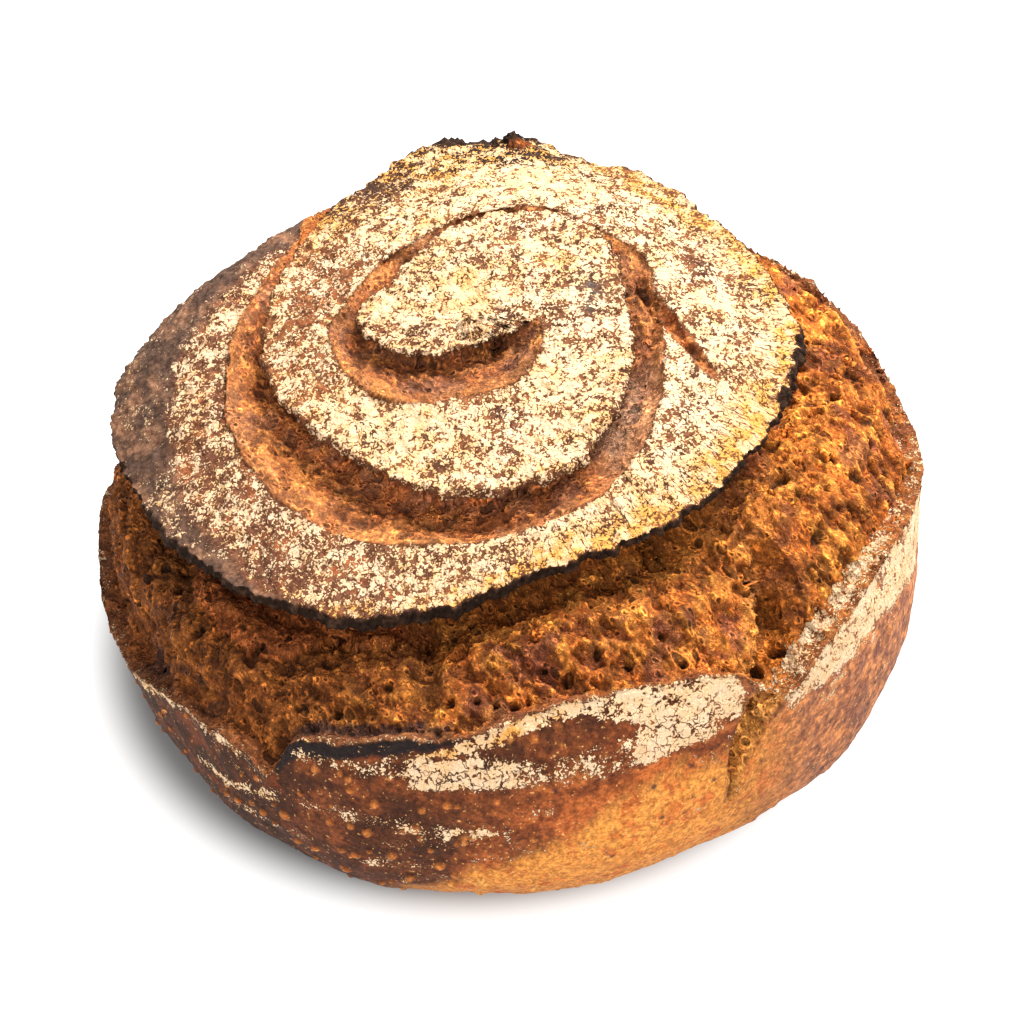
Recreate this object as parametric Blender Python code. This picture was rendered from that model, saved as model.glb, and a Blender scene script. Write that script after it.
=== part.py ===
"""Spelt bread loaf: a round boule scored with one continuous spiral cut, as one closed solid.

The loaf is worked out in profiles. Each profile runs from the crown down to the middle of the base,
in an upright half-plane through the centre of the spiral. The uncut form is a tilted dome over a
rounded wall on a flat base. The cut winds clockwise from the crown down to the flank. On its inner
side the crust stands up as a lip over an undercut pocket, and from there torn crumb climbs out to
the next band of crust. In its last turn the cut is a wide burst, down to the lower crust.

Sizes are in millimetres, as named values, and the mesh is scaled to metres. Turns are in degrees,
clockwise as seen from above, from +X, and along the spiral cut they count on past 360. A run is a
distance along the uncut crust, from the crown.
"""

import math

import bmesh
import bpy
import numpy as np

MM = 0.001
SEED = 7

# The uncut form: dome, wall and flat base, round the axis of the wall. The origin is moved from
# that axis to the middle of the outline.
OUTLINE_MIDDLE = (-1.123, -2.752)
SPIRAL_CENTRE = (-12.0, 6.0)
BELLY_RADIUS = 120.0
BELLY_HEIGHT = 48.0
BELLY_TO_BASE = 78.0
BELLY_TO_TOP = 86.0
BELLY_TO_TOP_LEAN = (10.0, 290.0)
LEAN_CALM = 0.28
BASE_ROUNDNESS = 2.3
TOP_ROUNDNESS = 2.6
WALL_WAVES = ((1, 0.012, 125.0), (2, 0.006, 50.0), (3, 0.006, 200.0), (5, 0.004, 30.0))
WALL_BULGE = (
    (0, 2.4), (9, 1), (20, 0.3), (34, -0.3), (45, -2), (56, -1.5), (69, -0.5), (80, 0), (95, 0.5), (104, 1.5),
    (114, 0.5), (125, 0), (140, -1.5), (156, -3.5), (163, -2.2), (180, -0.5), (189, 1.5), (200, 0), (295, 0),
    (310, 3.7), (320, 3), (345, 1.6), (360, 2.4),
)
BASE_TUCK = (
    (0, 0), (30, 0), (38, 3), (44, 7), (52, 8.5), (60, 10.5), (67, 9), (75, 7.5), (85, 6.5), (95, 6.5),
    (103, 5), (112, 3.5), (120, 2.5), (128, 0), (360, 0),
)
DOME_HEIGHT = 127.5
DOME_SLOPE = (0.0566, 0.165)
DOME_SAG = (0.00255, 0.00225)
SHOULDER_SHARPNESS = 18.0
SHOULDER_SAG = (
    (0, 0), (205, 0), (215, 4), (226, 13), (236, 23), (250, 23), (285, 15), (315, 7), (332, 2),
    (345, 0), (360, 0),
)
SHOULDER_SAG_RUN = (98.0, 18.0, 158.0, 30.0)

# The spiral cut: (turn, size) pairs, joined by smooth curves
CUT_START = 12.0
CUT_END = 1020.0
LIP_RUN = (
    (12, 21), (30, 16), (60, 13.4), (85, 13.5), (128, 18.4), (160, 25), (192, 30.5), (213, 25.5),
    (247, 31.2), (279, 41.4), (305, 50), (320, 50.3), (348, 45), (377, 47.9), (403, 53.8),
    (423, 61.2), (456, 61), (476, 57), (502, 55.2), (528, 58.8), (568, 62), (580, 65), (592, 71),
    (606, 79), (622, 88), (640, 93), (655, 91), (668, 87), (682, 86), (702, 91), (718, 96), (735, 93),
    (765, 89.5), (790, 87.3), (820, 97.5), (850, 102.8), (874, 105.2), (900, 113), (935, 119),
    (980, 124), (1020, 128),
)
EDGE_RUN = (
    (12, 21), (30, 24.5), (60, 29), (95, 30.5), (128, 37), (160, 38.8), (180, 40), (200, 35.8),
    (240, 34.8), (275, 42.9), (295, 49.5), (320, 51.5), (335, 55.6), (355, 54.3), (376, 57.4),
    (400, 65.9), (419, 72.3), (446, 75.2), (476, 77.8), (515, 75), (545, 72), (575, 71.5),
    (595, 84), (620, 108), (650, 122), (685, 134), (710, 150), (724, 151), (735, 143), (750, 139),
    (762, 142), (768, 146), (774, 133), (785, 126), (797, 123.6), (809, 129), (825, 132),
    (833, 137), (836, 148), (840, 143), (850, 140.8), (872, 154), (885, 158), (910, 158),
    (945, 150), (985, 136), (1020, 128),
)
POCKET_DEPTH = (
    (12, 0), (35, 3.5), (90, 5), (150, 5.5), (185, 5), (215, 4.5), (250, 3.5), (300, 2), (330, 3),
    (365, 7), (430, 9), (480, 10), (560, 9), (600, 14), (700, 17), (760, 15), (830, 18), (900, 14),
    (960, 9), (1020, 0),
)
UNDERCUT = ((12, 0), (60, 3), (200, 2), (300, 0.5), (400, 3), (560, 3), (620, 6), (850, 7), (1020, 0))
CRUMB_INSET = ((12, 0), (560, 0), (640, 3), (700, 4), (900, 4), (1020, 0))
RAMP_FULLNESS = ((12, 1.1), (560, 1.2), (640, 2.5), (700, 4), (900, 5), (1020, 3))
LIP_RISE = (
    (12, 0), (60, 1.5), (200, 1), (300, 0.5), (420, 2), (590, 1), (612, 2.5), (620, 6.5), (629, 10),
    (638, 12.5), (643, 11), (649, 4), (656, 2), (720, 2), (900, 2), (1020, 0),
)
EDGE_RISE = ((12, 0), (420, 0), (560, -3), (583, -4), (640, 0), (700, 2), (930, 2.5), (1020, 0))
LIP_THICKNESS = 3.5
RISE_LENGTH = 7.0
CROWN_CALM = 10.0

# The tear that runs down the wall between the two front pieces of the lower crust, and the short
# fork of the spiral cut on the crown: (run, turn), (run, width) and (run, depth) pairs
TEAR_LINE = (
    (105, 37), (113, 38.5), (121, 40.5), (129, 42.3), (136, 45.5), (142, 49.5), (154, 54), (176, 56.5),
)
TEAR_WIDTH = ((105, 4), (118, 9), (130, 12), (140, 13), (148, 9), (158, 6), (176, 3))
TEAR_DEPTH = ((105, 0), (116, 8), (130, 11), (142, 10), (156, 6), (176, 0))
FORK_LINE = ((50, -15.0), (53, -8), (57, 0), (62, 6), (66, 10), (70, 13.5), (75, 17))
FORK_WIDTH = ((50, 9), (54, 7), (60, 5.5), (66, 4.5), (75, 1.5))
FORK_DEPTH = ((50, 0), (53, 2.5), (57, 3), (66, 2.6), (75, 0))

# Torn crumb
CRUMB_ROUGHNESS = ((16.0, 2.0), (8.0, 1.2))
CRUST_ROUGHNESS = ((30.0, 1.0), (12.0, 0.4))
LIP_RAGGEDNESS = (9.0, 1.2)

# The mesh
TURNS_OF_MESH = 216
ROWS_OF_MESH = 144
FORM_SAMPLES = 500
BAND_STEP = 1.5
BASE_ROW_SHARE = 0.3
KEPT_TRIANGLES = 10500

CRUST_COLOUR = (0.36, 0.13, 0.04, 1.0)
CRUST_BASE_ROUGHNESS = 0.75


def along_knots(knots, place):
    """The value at each place, on a smooth curve through (place, value) pairs."""
    at = np.array([knot[0] for knot in knots], float)
    value = np.array([knot[1] for knot in knots], float)
    chord = np.diff(value) / np.diff(at)
    slope = np.concatenate([[chord[0]], (chord[:-1] + chord[1:]) / 2, [chord[-1]]])
    slope[1:-1][chord[:-1] * chord[1:] <= 0] = 0
    place = np.clip(np.asarray(place, float), at[0], at[-1])
    k = np.clip(np.searchsorted(at, place, side="right") - 1, 0, len(at) - 2)
    gap = at[k + 1] - at[k]
    t = (place - at[k]) / gap
    rest = 1 - t
    ends = value[k] * rest * rest * (1 + 2 * t) + value[k + 1] * t * t * (3 - 2 * t)
    return ends + gap * t * rest * (slope[k] * rest - slope[k + 1] * t)


def smooth_noise(places, size):
    """Gradient noise of about -1 to 1 at each place, with lumps of the given size."""
    table = np.random.default_rng(SEED)
    order = np.tile(table.permutation(256), 3)
    slopes = table.normal(size=(256, 3))
    slopes /= np.linalg.norm(slopes, axis=1)[:, None]
    places = np.asarray(places, float) / size + 100.5
    cell = np.floor(places).astype(np.int64)
    inside = places - cell
    fade = inside ** 3 * (inside * (6 * inside - 15) + 10)
    total = np.zeros(len(places))
    for corner in np.ndindex(2, 2, 2):
        at = (cell + corner) & 255
        slope = slopes[order[order[order[at[:, 0]] + at[:, 1]] + at[:, 2]]]
        share = np.where(corner, fade, 1 - fade).prod(axis=1)
        total += share * ((inside - corner) * slope).sum(axis=1)
    return total * 1.6


def direction(turn):
    """The level direction of a turn, as (x, y)."""
    angle = -math.radians(turn)
    return math.cos(angle), math.sin(angle)


def belly_reach(turn):
    """Distance from the spiral's centre to the wall at its widest."""
    east, north = direction(turn)
    radius = BELLY_RADIUS
    for count, share, phase in WALL_WAVES:
        radius += BELLY_RADIUS * share * math.cos(math.radians(count * (turn - phase)))
    radius += float(along_knots(WALL_BULGE, turn % 360))
    along = SPIRAL_CENTRE[0] * east + SPIRAL_CENTRE[1] * north
    off_square = SPIRAL_CENTRE[0] ** 2 + SPIRAL_CENTRE[1] ** 2
    return -along + math.sqrt(along * along - off_square + radius * radius)


def dome_distance(turn, out, up):
    """Distance to the dome from the point at belly height under the spiral's centre."""
    x, y = SPIRAL_CENTRE
    east, north = direction(turn)
    height = DOME_HEIGHT + DOME_SLOPE[0] * x + DOME_SLOPE[1] * y
    height -= DOME_SAG[0] * x * x + DOME_SAG[1] * y * y + BELLY_HEIGHT
    slope = DOME_SLOPE[0] * east + DOME_SLOPE[1] * north
    slope -= 2 * (DOME_SAG[0] * x * east + DOME_SAG[1] * y * north)
    sag = DOME_SAG[0] * east * east + DOME_SAG[1] * north * north
    b = up - slope * out
    c = np.maximum(sag * out * out, 1e-9)
    return (np.sqrt(b * b + 4 * c * height) - b) / (2 * c)


def wall_distance(turn, out, up):
    """Distance to the rounded wall from the same point."""
    lean, lean_turn = BELLY_TO_TOP_LEAN
    lean = lean * (1 - np.exp(-(out / LEAN_CALM) ** 2))
    to_top = BELLY_TO_TOP + lean * math.cos(math.radians(turn - lean_turn))
    to_base = BELLY_TO_BASE - float(along_knots(BASE_TUCK, turn % 360))
    half_height = np.where(up > 0, to_top, to_base)
    power = np.where(up > 0, TOP_ROUNDNESS, BASE_ROUNDNESS)
    share = (out / belly_reach(turn)) ** power + (abs(up) / half_height) ** power
    return share ** (-1 / power)


def run_along(reach, height):
    """The distance along a profile to each of its points."""
    return np.concatenate([[0], np.cumsum(np.hypot(np.diff(reach), np.diff(height)))])


def form_profile(turn):
    """The uncut form in one half-plane: reach, height and run of points from crown to base."""
    tilt = np.linspace(math.pi / 2, -math.pi / 2, FORM_SAMPLES)
    out, up = np.cos(tilt), np.sin(tilt)
    dome = dome_distance(turn, out, up)
    wall = wall_distance(turn, out, up)
    blended = (dome ** -SHOULDER_SHARPNESS + wall ** -SHOULDER_SHARPNESS) ** (-1 / SHOULDER_SHARPNESS)
    run = run_along(blended * out, blended * up)
    start, start_length, stop, stop_length = SHOULDER_SAG_RUN
    sag = 1 / (1 + np.exp((start - run) / start_length * 5)) / (1 + np.exp((run - stop) / stop_length * 5))
    blended = blended - sag * float(along_knots(SHOULDER_SAG, turn % 360))
    distance = np.minimum(blended, BELLY_HEIGHT / np.maximum(-up, 1e-6))
    reach = distance * out
    height = BELLY_HEIGHT + distance * up
    return reach, height, run_along(reach, height)


def lip_run(turn):
    """The run of the cut's inner side, with a ragged edge."""
    angle = math.radians(turn)
    size, depth = LIP_RAGGEDNESS
    place = np.array([[60 * math.cos(angle), 60 * math.sin(angle), turn / 6]])
    return float(along_knots(LIP_RUN, turn)) + depth * smooth_noise(place, size)[0]


def cut_profile(turn):
    """The cut at one turn, from lip to outer edge: rows of run, rise and share of crumb."""
    lip = lip_run(turn)
    edge = max(float(along_knots(EDGE_RUN, turn)), lip + 0.2)
    width = edge - lip
    depth = float(along_knots(POCKET_DEPTH, turn))
    depth = min(depth, 0.75 * width)
    under = min(float(along_knots(UNDERCUT, turn)), 0.5 * width)
    thick = min(LIP_THICKNESS, 0.4 * depth)
    rise = float(along_knots(LIP_RISE, turn))
    inset = float(along_knots(CRUMB_INSET, turn))
    end_rise = float(along_knots(EDGE_RISE, turn))
    fullness = float(along_knots(RAMP_FULLNESS, turn))
    rows = [
        (lip, rise, 0.0),
        (lip + 0.4 * thick, rise - 0.5 * thick, 0.0),
        (lip - 0.2 * under, rise - thick, 0.5),
        (lip - 0.9 * under, rise - thick - 0.25 * (depth - thick), 1.0),
        (lip - under, rise - thick - 0.6 * (depth - thick), 1.0),
        (lip - 0.3 * under, -depth, 1.0),
    ]
    for share in np.linspace(0.1, 0.97, 14):
        fall = -inset - (depth - inset) * (1 - (share - 0.1) / 0.9) ** fullness
        rows.append((lip + share * width, fall + end_rise * max(share - 0.8, 0), 1.0))
    rows.append((edge, end_rise, 0.3))
    return rows


def groove(line, widths, depths, turn, runs, reach):
    """How deep a groove that runs down the loaf goes at each place of one half-plane."""
    off = np.radians((turn - along_knots(line, runs) + 180) % 360 - 180) * reach
    half = along_knots(widths, runs) / 2
    inside = (runs > line[0][0]) & (runs < line[-1][0])
    return along_knots(depths, runs) * np.clip(1.5 - abs(off) / half, 0, 1) * inside


def band(start, start_rise, stop, stop_rise):
    """Crust between two cuts, which rises to the lip at its outer end and to the edge at its inner."""
    count = max(int((stop - start) / BAND_STEP), 2)
    runs = np.linspace(start, stop, count)[1:-1]
    rises = stop_rise * np.exp((runs - stop) / RISE_LENGTH)
    rises = rises + start_rise * np.exp((start - runs) / RISE_LENGTH)
    rises = rises * (1 - np.exp(-(runs / CROWN_CALM) ** 2))
    return [(run, rise, 0.0) for run, rise in zip(runs, rises)]


def loaf_profile(turn):
    """Places on the finished loaf in one half-plane, from crown to base, evenly spaced."""
    reach, height, run = form_profile(turn)
    rows = [(0.0, 0.0, 0.0)]
    for lap in (0, 360, 720):
        if CUT_START < turn + lap < CUT_END:
            cut = cut_profile(turn + lap)
            rows += band(rows[-1][0], rows[-1][1], cut[0][0], cut[0][1])
            rows += cut
    rows += band(rows[-1][0], rows[-1][1], run[-1], 0.0)
    rows.append((run[-1], 0.0, 0.0))
    runs, rises, crumb = np.array(rows).T
    level_reach = np.interp(runs, run, reach)
    rises = rises - groove(TEAR_LINE, TEAR_WIDTH, TEAR_DEPTH, turn, runs, level_reach)
    rises = rises - groove(FORK_LINE, FORK_WIDTH, FORK_DEPTH, turn, runs, level_reach)
    slope_out = np.gradient(reach, run)
    slope_up = np.gradient(height, run)
    out = np.interp(runs, run, reach) - rises * np.interp(runs, run, slope_up)
    up = np.interp(runs, run, height) + rises * np.interp(runs, run, slope_out)
    step = np.hypot(np.diff(out), np.diff(up))
    on_base = (up[1:] < 1) & (up[:-1] < 1)
    count = np.concatenate([[0], np.cumsum(np.where(on_base, BASE_ROW_SHARE, 1.0) * step)])
    even = np.linspace(0, count[-1], ROWS_OF_MESH + 1)
    return np.stack([np.interp(even, count, column) for column in (out, up, crumb)], axis=1)


def loaf_places():
    """Places of the whole surface, by turn and row, in millimetres."""
    turns = np.arange(TURNS_OF_MESH) * 360 / TURNS_OF_MESH
    profiles = np.array([loaf_profile(turn) for turn in turns])
    out, up, crumb = np.moveaxis(profiles, 2, 0)
    flat = np.array([direction(turn) for turn in turns])
    level = flat[:, None, :] * out[..., None] + SPIRAL_CENTRE
    places = np.concatenate([level, up[..., None]], axis=2)
    around = np.roll(places, -1, axis=0) - np.roll(places, 1, axis=0)
    down = np.gradient(places, axis=1)
    facing = np.cross(around, down)
    facing /= np.maximum(np.linalg.norm(facing, axis=2), 1e-9)[..., None]
    facing[:, 0] = (0, 0, 1)
    facing[:, -1] = (0, 0, -1)
    spots = places.reshape(-1, 3)
    rough = sum(depth * smooth_noise(spots, size) for size, depth in CRUMB_ROUGHNESS)
    plain = sum(depth * smooth_noise(spots, size) for size, depth in CRUST_ROUGHNESS)
    share = crumb.reshape(-1)
    relief = (share * rough + (1 - share) * plain).reshape(out.shape)
    relief *= np.clip(up / 12, 0, 1)
    relief[:, 0] = relief[:, 0].mean()
    places = places + facing * relief[..., None]
    places[..., 2] = np.maximum(places[..., 2], 0)
    places[:, -1] = places[:, -1].mean(axis=0)
    places[..., :2] -= OUTLINE_MIDDLE
    return places


def clear_scene():
    for thing in list(bpy.data.objects):
        bpy.data.objects.remove(thing, do_unlink=True)


def crust_material():
    material = bpy.data.materials.new("crust")
    material.use_nodes = True
    shader = material.node_tree.nodes["Principled BSDF"]
    shader.inputs["Base Color"].default_value = CRUST_COLOUR
    shader.inputs["Roughness"].default_value = CRUST_BASE_ROUGHNESS
    shader.inputs["Metallic"].default_value = 0.0
    return material


def loaf_mesh():
    """A globe whose lines of latitude and longitude are laid over the loaf."""
    places = loaf_places() * MM
    shape = bmesh.new()
    bmesh.ops.create_uvsphere(shape, u_segments=TURNS_OF_MESH, v_segments=ROWS_OF_MESH, radius=1.0)
    for point in shape.verts:
        x, y, z = point.co
        row = round(math.acos(max(-1.0, min(1.0, z))) / math.pi * ROWS_OF_MESH)
        column = round(math.atan2(-y, x) / (2 * math.pi) * TURNS_OF_MESH) % TURNS_OF_MESH
        point.co = places[column, row]
    bmesh.ops.triangulate(shape, faces=shape.faces)
    mesh = bpy.data.meshes.new("loaf")
    shape.to_mesh(mesh)
    shape.free()
    mesh.shade_smooth()
    return mesh


def build_loaf():
    group = bpy.data.collections.new("spelt bread loaf")
    bpy.context.scene.collection.children.link(group)
    mesh = loaf_mesh()
    mesh.materials.append(crust_material())
    loaf = bpy.data.objects.new("loaf", mesh)
    group.objects.link(loaf)
    fewer = loaf.modifiers.new("fewer triangles", "DECIMATE")
    fewer.decimate_type = "COLLAPSE"
    fewer.ratio = KEPT_TRIANGLES / len(mesh.polygons)
    fewer.use_collapse_triangulate = True
    return loaf


def main():
    clear_scene()
    build_loaf()


if __name__ == "__main__":
    main()
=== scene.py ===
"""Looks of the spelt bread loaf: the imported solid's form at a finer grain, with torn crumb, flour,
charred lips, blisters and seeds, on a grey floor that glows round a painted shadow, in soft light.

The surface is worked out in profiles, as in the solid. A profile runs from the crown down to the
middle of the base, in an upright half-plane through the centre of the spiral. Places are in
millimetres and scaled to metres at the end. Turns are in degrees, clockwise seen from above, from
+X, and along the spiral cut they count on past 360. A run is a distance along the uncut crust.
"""

import math

import bpy
import numpy as np
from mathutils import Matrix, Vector


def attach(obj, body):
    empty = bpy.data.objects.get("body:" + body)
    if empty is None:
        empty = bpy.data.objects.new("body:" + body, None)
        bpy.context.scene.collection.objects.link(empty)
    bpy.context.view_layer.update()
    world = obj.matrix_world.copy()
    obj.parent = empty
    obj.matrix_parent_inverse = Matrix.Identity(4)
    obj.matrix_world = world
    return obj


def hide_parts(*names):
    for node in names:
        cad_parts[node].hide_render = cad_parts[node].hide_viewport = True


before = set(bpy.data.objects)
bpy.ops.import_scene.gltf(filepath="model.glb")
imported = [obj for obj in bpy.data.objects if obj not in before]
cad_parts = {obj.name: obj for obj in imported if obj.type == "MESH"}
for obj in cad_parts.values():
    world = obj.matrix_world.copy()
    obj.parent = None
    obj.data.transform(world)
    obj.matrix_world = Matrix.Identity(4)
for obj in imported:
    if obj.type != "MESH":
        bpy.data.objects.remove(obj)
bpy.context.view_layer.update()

MM = 0.001
SEED = 7

# ---------------------------------------------------------------- the form, as in the solid
OUTLINE_MIDDLE = (-1.123, -2.752)
SPIRAL_CENTRE = (-12.0, 6.0)
BELLY_RADIUS = 120.0
BELLY_HEIGHT = 48.0
BELLY_TO_BASE = 78.0
BELLY_TO_TOP = 86.0
BELLY_TO_TOP_LEAN = (10.0, 290.0)
LEAN_CALM = 0.28
BASE_ROUNDNESS = 2.3
TOP_ROUNDNESS = 2.6
WALL_WAVES = ((1, 0.012, 125.0), (2, 0.006, 50.0), (3, 0.006, 200.0), (5, 0.004, 30.0))
WALL_BULGE = (
    (0, 2.4), (9, 1), (20, 0.3), (34, -0.3), (45, -2), (56, -1.5), (69, -0.5), (80, 0), (95, 0.5), (104, 1.5),
    (114, 0.5), (125, 0), (140, -1.5), (156, -3.5), (163, -2.2), (180, -0.5), (189, 1.5), (200, 0), (295, 0),
    (310, 3.7), (320, 3), (345, 1.6), (360, 2.4),
)
BASE_TUCK = (
    (0, 0), (30, 0), (38, 3), (44, 7), (52, 8.5), (60, 10.5), (67, 9), (75, 7.5), (85, 6.5), (95, 6.5),
    (103, 5), (112, 3.5), (120, 2.5), (128, 0), (360, 0),
)
DOME_HEIGHT = 127.5
DOME_SLOPE = (0.0566, 0.165)
DOME_SAG = (0.00255, 0.00225)
SHOULDER_SHARPNESS = 18.0
SHOULDER_SAG = (
    (0, 0), (205, 0), (215, 4), (226, 13), (236, 23), (250, 23), (285, 15), (315, 7), (332, 2),
    (345, 0), (360, 0),
)
SHOULDER_SAG_RUN = (98.0, 18.0, 158.0, 30.0)

CUT_START = 12.0
CUT_END = 1020.0
AFTER_CUT = 1080.0
LIP_RUN = (
    (12, 21), (30, 16), (60, 13.4), (85, 13.5), (128, 18.4), (160, 25), (192, 30.5), (213, 25.5),
    (247, 31.2), (279, 41.4), (305, 50), (320, 50.3), (348, 45), (377, 47.9), (403, 53.8),
    (423, 61.2), (456, 61), (476, 57), (502, 55.2), (528, 58.8), (568, 62), (580, 65), (592, 71),
    (606, 79), (622, 88), (640, 93), (655, 91), (668, 87), (682, 86), (702, 91), (718, 96), (735, 93),
    (765, 89.5), (790, 87.3), (820, 97.5), (850, 102.8), (874, 105.2), (900, 113), (935, 119),
    (980, 124), (1020, 128),
)
EDGE_RUN = (
    (12, 21), (30, 24.5), (60, 29), (95, 30.5), (128, 37), (160, 38.8), (180, 40), (200, 35.8),
    (240, 34.8), (275, 42.9), (295, 49.5), (320, 51.5), (335, 55.6), (355, 54.3), (376, 57.4),
    (400, 65.9), (419, 72.3), (446, 75.2), (476, 77.8), (515, 75), (545, 72), (575, 71.5),
    (595, 84), (620, 108), (650, 122), (685, 134), (710, 150), (724, 151), (735, 143), (750, 139),
    (762, 142), (768, 146), (774, 133), (785, 126), (797, 123.6), (809, 129), (825, 132),
    (833, 137), (836, 148), (840, 143), (850, 140.8), (872, 154), (885, 158), (910, 158),
    (945, 150), (985, 136), (1020, 128),
)
POCKET_DEPTH = (
    (12, 0), (35, 3.5), (90, 5), (150, 5.5), (185, 5), (215, 4.5), (250, 3.5), (300, 2), (330, 3),
    (365, 7), (430, 9), (480, 10), (560, 9), (600, 14), (700, 17), (760, 15), (830, 18), (900, 14),
    (960, 9), (1020, 0),
)
UNDERCUT = ((12, 0), (60, 3), (200, 2), (300, 0.5), (400, 3), (560, 3), (620, 6), (850, 7), (1020, 0))
CRUMB_INSET = ((12, 0), (560, 0), (640, 3), (700, 4), (900, 4), (1020, 0))
RAMP_FULLNESS = ((12, 1.1), (560, 1.2), (640, 2.5), (700, 4), (900, 5), (1020, 3))
LIP_RISE = (
    (12, 0), (60, 1.5), (200, 1), (300, 0.5), (420, 2), (590, 1), (612, 2.5), (620, 6.5), (629, 10),
    (638, 12.5), (643, 11), (649, 4), (656, 2), (720, 2), (900, 2), (1020, 0),
)
EDGE_RISE = ((12, 0), (420, 0), (560, -3), (583, -4), (640, 0), (700, 2), (930, 2.5), (1020, 0))
LIP_EXTRA = ((0, 0), (720, 0), (780, 0.25), (820, 0.7), (870, 0.5), (930, 0.2), (1020, 0))
LIP_BUMPS = (
    (0, 0.5), (560, 0.5), (615, 1.2), (630, 2.6), (645, 2.4), (660, 1.2), (700, 0.8), (830, 0.6), (880, 0.9),
    (960, 1.4), (1020, 0.3),
)
LIP_THICKNESS = 3.5
RISE_LENGTH = 7.0
CROWN_CALM = 10.0

TEAR_LINE = (
    (105, 37), (113, 38.5), (121, 40.5), (129, 42.3), (136, 45.5), (142, 49.5), (154, 54), (176, 56.5),
)
TEAR_WIDTH = ((105, 4), (118, 9), (130, 12), (140, 13), (148, 9), (158, 6), (176, 3))
TEAR_DEPTH = ((105, 0), (116, 8), (130, 11), (142, 10), (156, 6), (176, 0))
FORK_LINE = ((50, -15.0), (53, -8), (57, 0), (62, 6), (66, 10), (70, 13.5), (75, 17))
FORK_WIDTH = ((50, 9), (54, 7), (60, 5.5), (66, 4.5), (75, 1.5))
FORK_DEPTH = ((50, 0), (53, 2.5), (57, 3), (66, 2.6), (75, 0))

CRUMB_ROUGHNESS = ((16.0, 2.0), (8.0, 1.2))
CRUST_ROUGHNESS = ((30.0, 1.0), (12.0, 0.4))
LIP_RAGGEDNESS = ((9.0, 1.2), (3.4, 1.0), (1.5, 0.6))

# ---------------------------------------------------------------- the mesh
SECTORS = (("east", -45, 45, 340), ("south", 45, 135, 380), ("west", 135, 225, 340), ("north", 225, 315, 220))
CROWN_ROWS = 156
WALL_ROWS = 258
BASE_ROWS = 34
BAND_ROWS = 46
LAST_BAND_ROWS = 190
FORM_SAMPLES = 600
BASE_ROW_SHARE = 0.3


def along_knots(knots, place):
    """The value at each place, on a smooth curve through (place, value) pairs."""
    at = np.array([knot[0] for knot in knots], float)
    value = np.array([knot[1] for knot in knots], float)
    chord = np.diff(value) / np.diff(at)
    slope = np.concatenate([[chord[0]], (chord[:-1] + chord[1:]) / 2, [chord[-1]]])
    slope[1:-1][chord[:-1] * chord[1:] <= 0] = 0
    place = np.clip(np.asarray(place, float), at[0], at[-1])
    k = np.clip(np.searchsorted(at, place, side="right") - 1, 0, len(at) - 2)
    gap = at[k + 1] - at[k]
    t = (place - at[k]) / gap
    rest = 1 - t
    ends = value[k] * rest * rest * (1 + 2 * t) + value[k + 1] * t * t * (3 - 2 * t)
    return ends + gap * t * rest * (slope[k] * rest - slope[k + 1] * t)


def step(low, high, value):
    """0 below low, 1 above high, smooth between."""
    t = np.clip((value - low) / (high - low), 0, 1)
    return t * t * (3 - 2 * t)


def smooth_noise(places, size, seed=SEED):
    """Gradient noise of about -1 to 1 at each place, with lumps of the given size."""
    shape = np.shape(places)[:-1]
    table = np.random.default_rng(seed)
    order = np.tile(table.permutation(256), 3)
    slopes = table.normal(size=(256, 3))
    slopes /= np.linalg.norm(slopes, axis=1)[:, None]
    places = np.asarray(places, float).reshape(-1, 3) / size + 100.5
    cell = np.floor(places).astype(np.int64)
    inside = places - cell
    fade = inside ** 3 * (inside * (6 * inside - 15) + 10)
    x, y, z = (cell & 255).T
    total = np.zeros(len(places))
    for i in (0, 1):
        along_x = order[(x + i) & 255]
        share_x = fade[:, 0] if i else 1 - fade[:, 0]
        for j in (0, 1):
            along_y = order[along_x + ((y + j) & 255)]
            share_y = share_x * (fade[:, 1] if j else 1 - fade[:, 1])
            for k in (0, 1):
                slope = slopes[order[along_y + ((z + k) & 255)]]
                share = share_y * (fade[:, 2] if k else 1 - fade[:, 2])
                dot = (inside[:, 0] - i) * slope[:, 0] + (inside[:, 1] - j) * slope[:, 1]
                total += share * (dot + (inside[:, 2] - k) * slope[:, 2])
    return (total * 1.6).reshape(shape)


def rough_noise(places, size, octaves=3, seed=SEED, gain=0.5):
    """Several scales of noise on top of each other."""
    total = 0
    share = 1.0
    for octave in range(octaves):
        total = total + share * smooth_noise(places, size / 2 ** octave, seed + 31 * octave)
        share *= gain
    return total


def cells(places, size, seed=SEED, loose=0.9):
    """Cells round scattered points: distance to the nearest, gap to the second, the nearest's number."""
    shape = np.shape(places)[:-1]
    axes = np.shape(places)[-1]
    places = np.asarray(places, float).reshape(-1, axes) / size + 500.0
    cell = np.floor(places).astype(np.int64)
    inside = places - cell
    near = np.full(len(places), 9.0)
    second = np.full(len(places), 9.0)
    number = np.zeros(len(places))
    for offset in np.ndindex(*(3,) * axes):
        key = seed * 7919
        for axis in range(axes):
            key = key ^ (cell[:, axis] + offset[axis] - 1) * (73856093, 19349663, 83492791)[axis]
        key = key & 0x7FFFFFFF
        key = (key ^ (key >> 13)) * 1274126177 & 0x7FFFFFFF
        key = (key ^ (key >> 16)) * 374761393 & 0x7FFFFFFF
        far = 0
        for axis in range(axes):
            place = (key >> (10 * axis) & 1023) / 1023.0
            far = far + (offset[axis] - 0.5 + loose * (place - 0.5) - inside[:, axis]) ** 2
        closer = far < near
        second = np.where(closer, near, np.minimum(second, far))
        number = np.where(closer, (key * 0.6180339) % 1.0, number)
        near = np.where(closer, far, near)
    near, second = np.sqrt(near), np.sqrt(second)
    return near.reshape(shape), (second - near).reshape(shape), number.reshape(shape)


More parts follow.
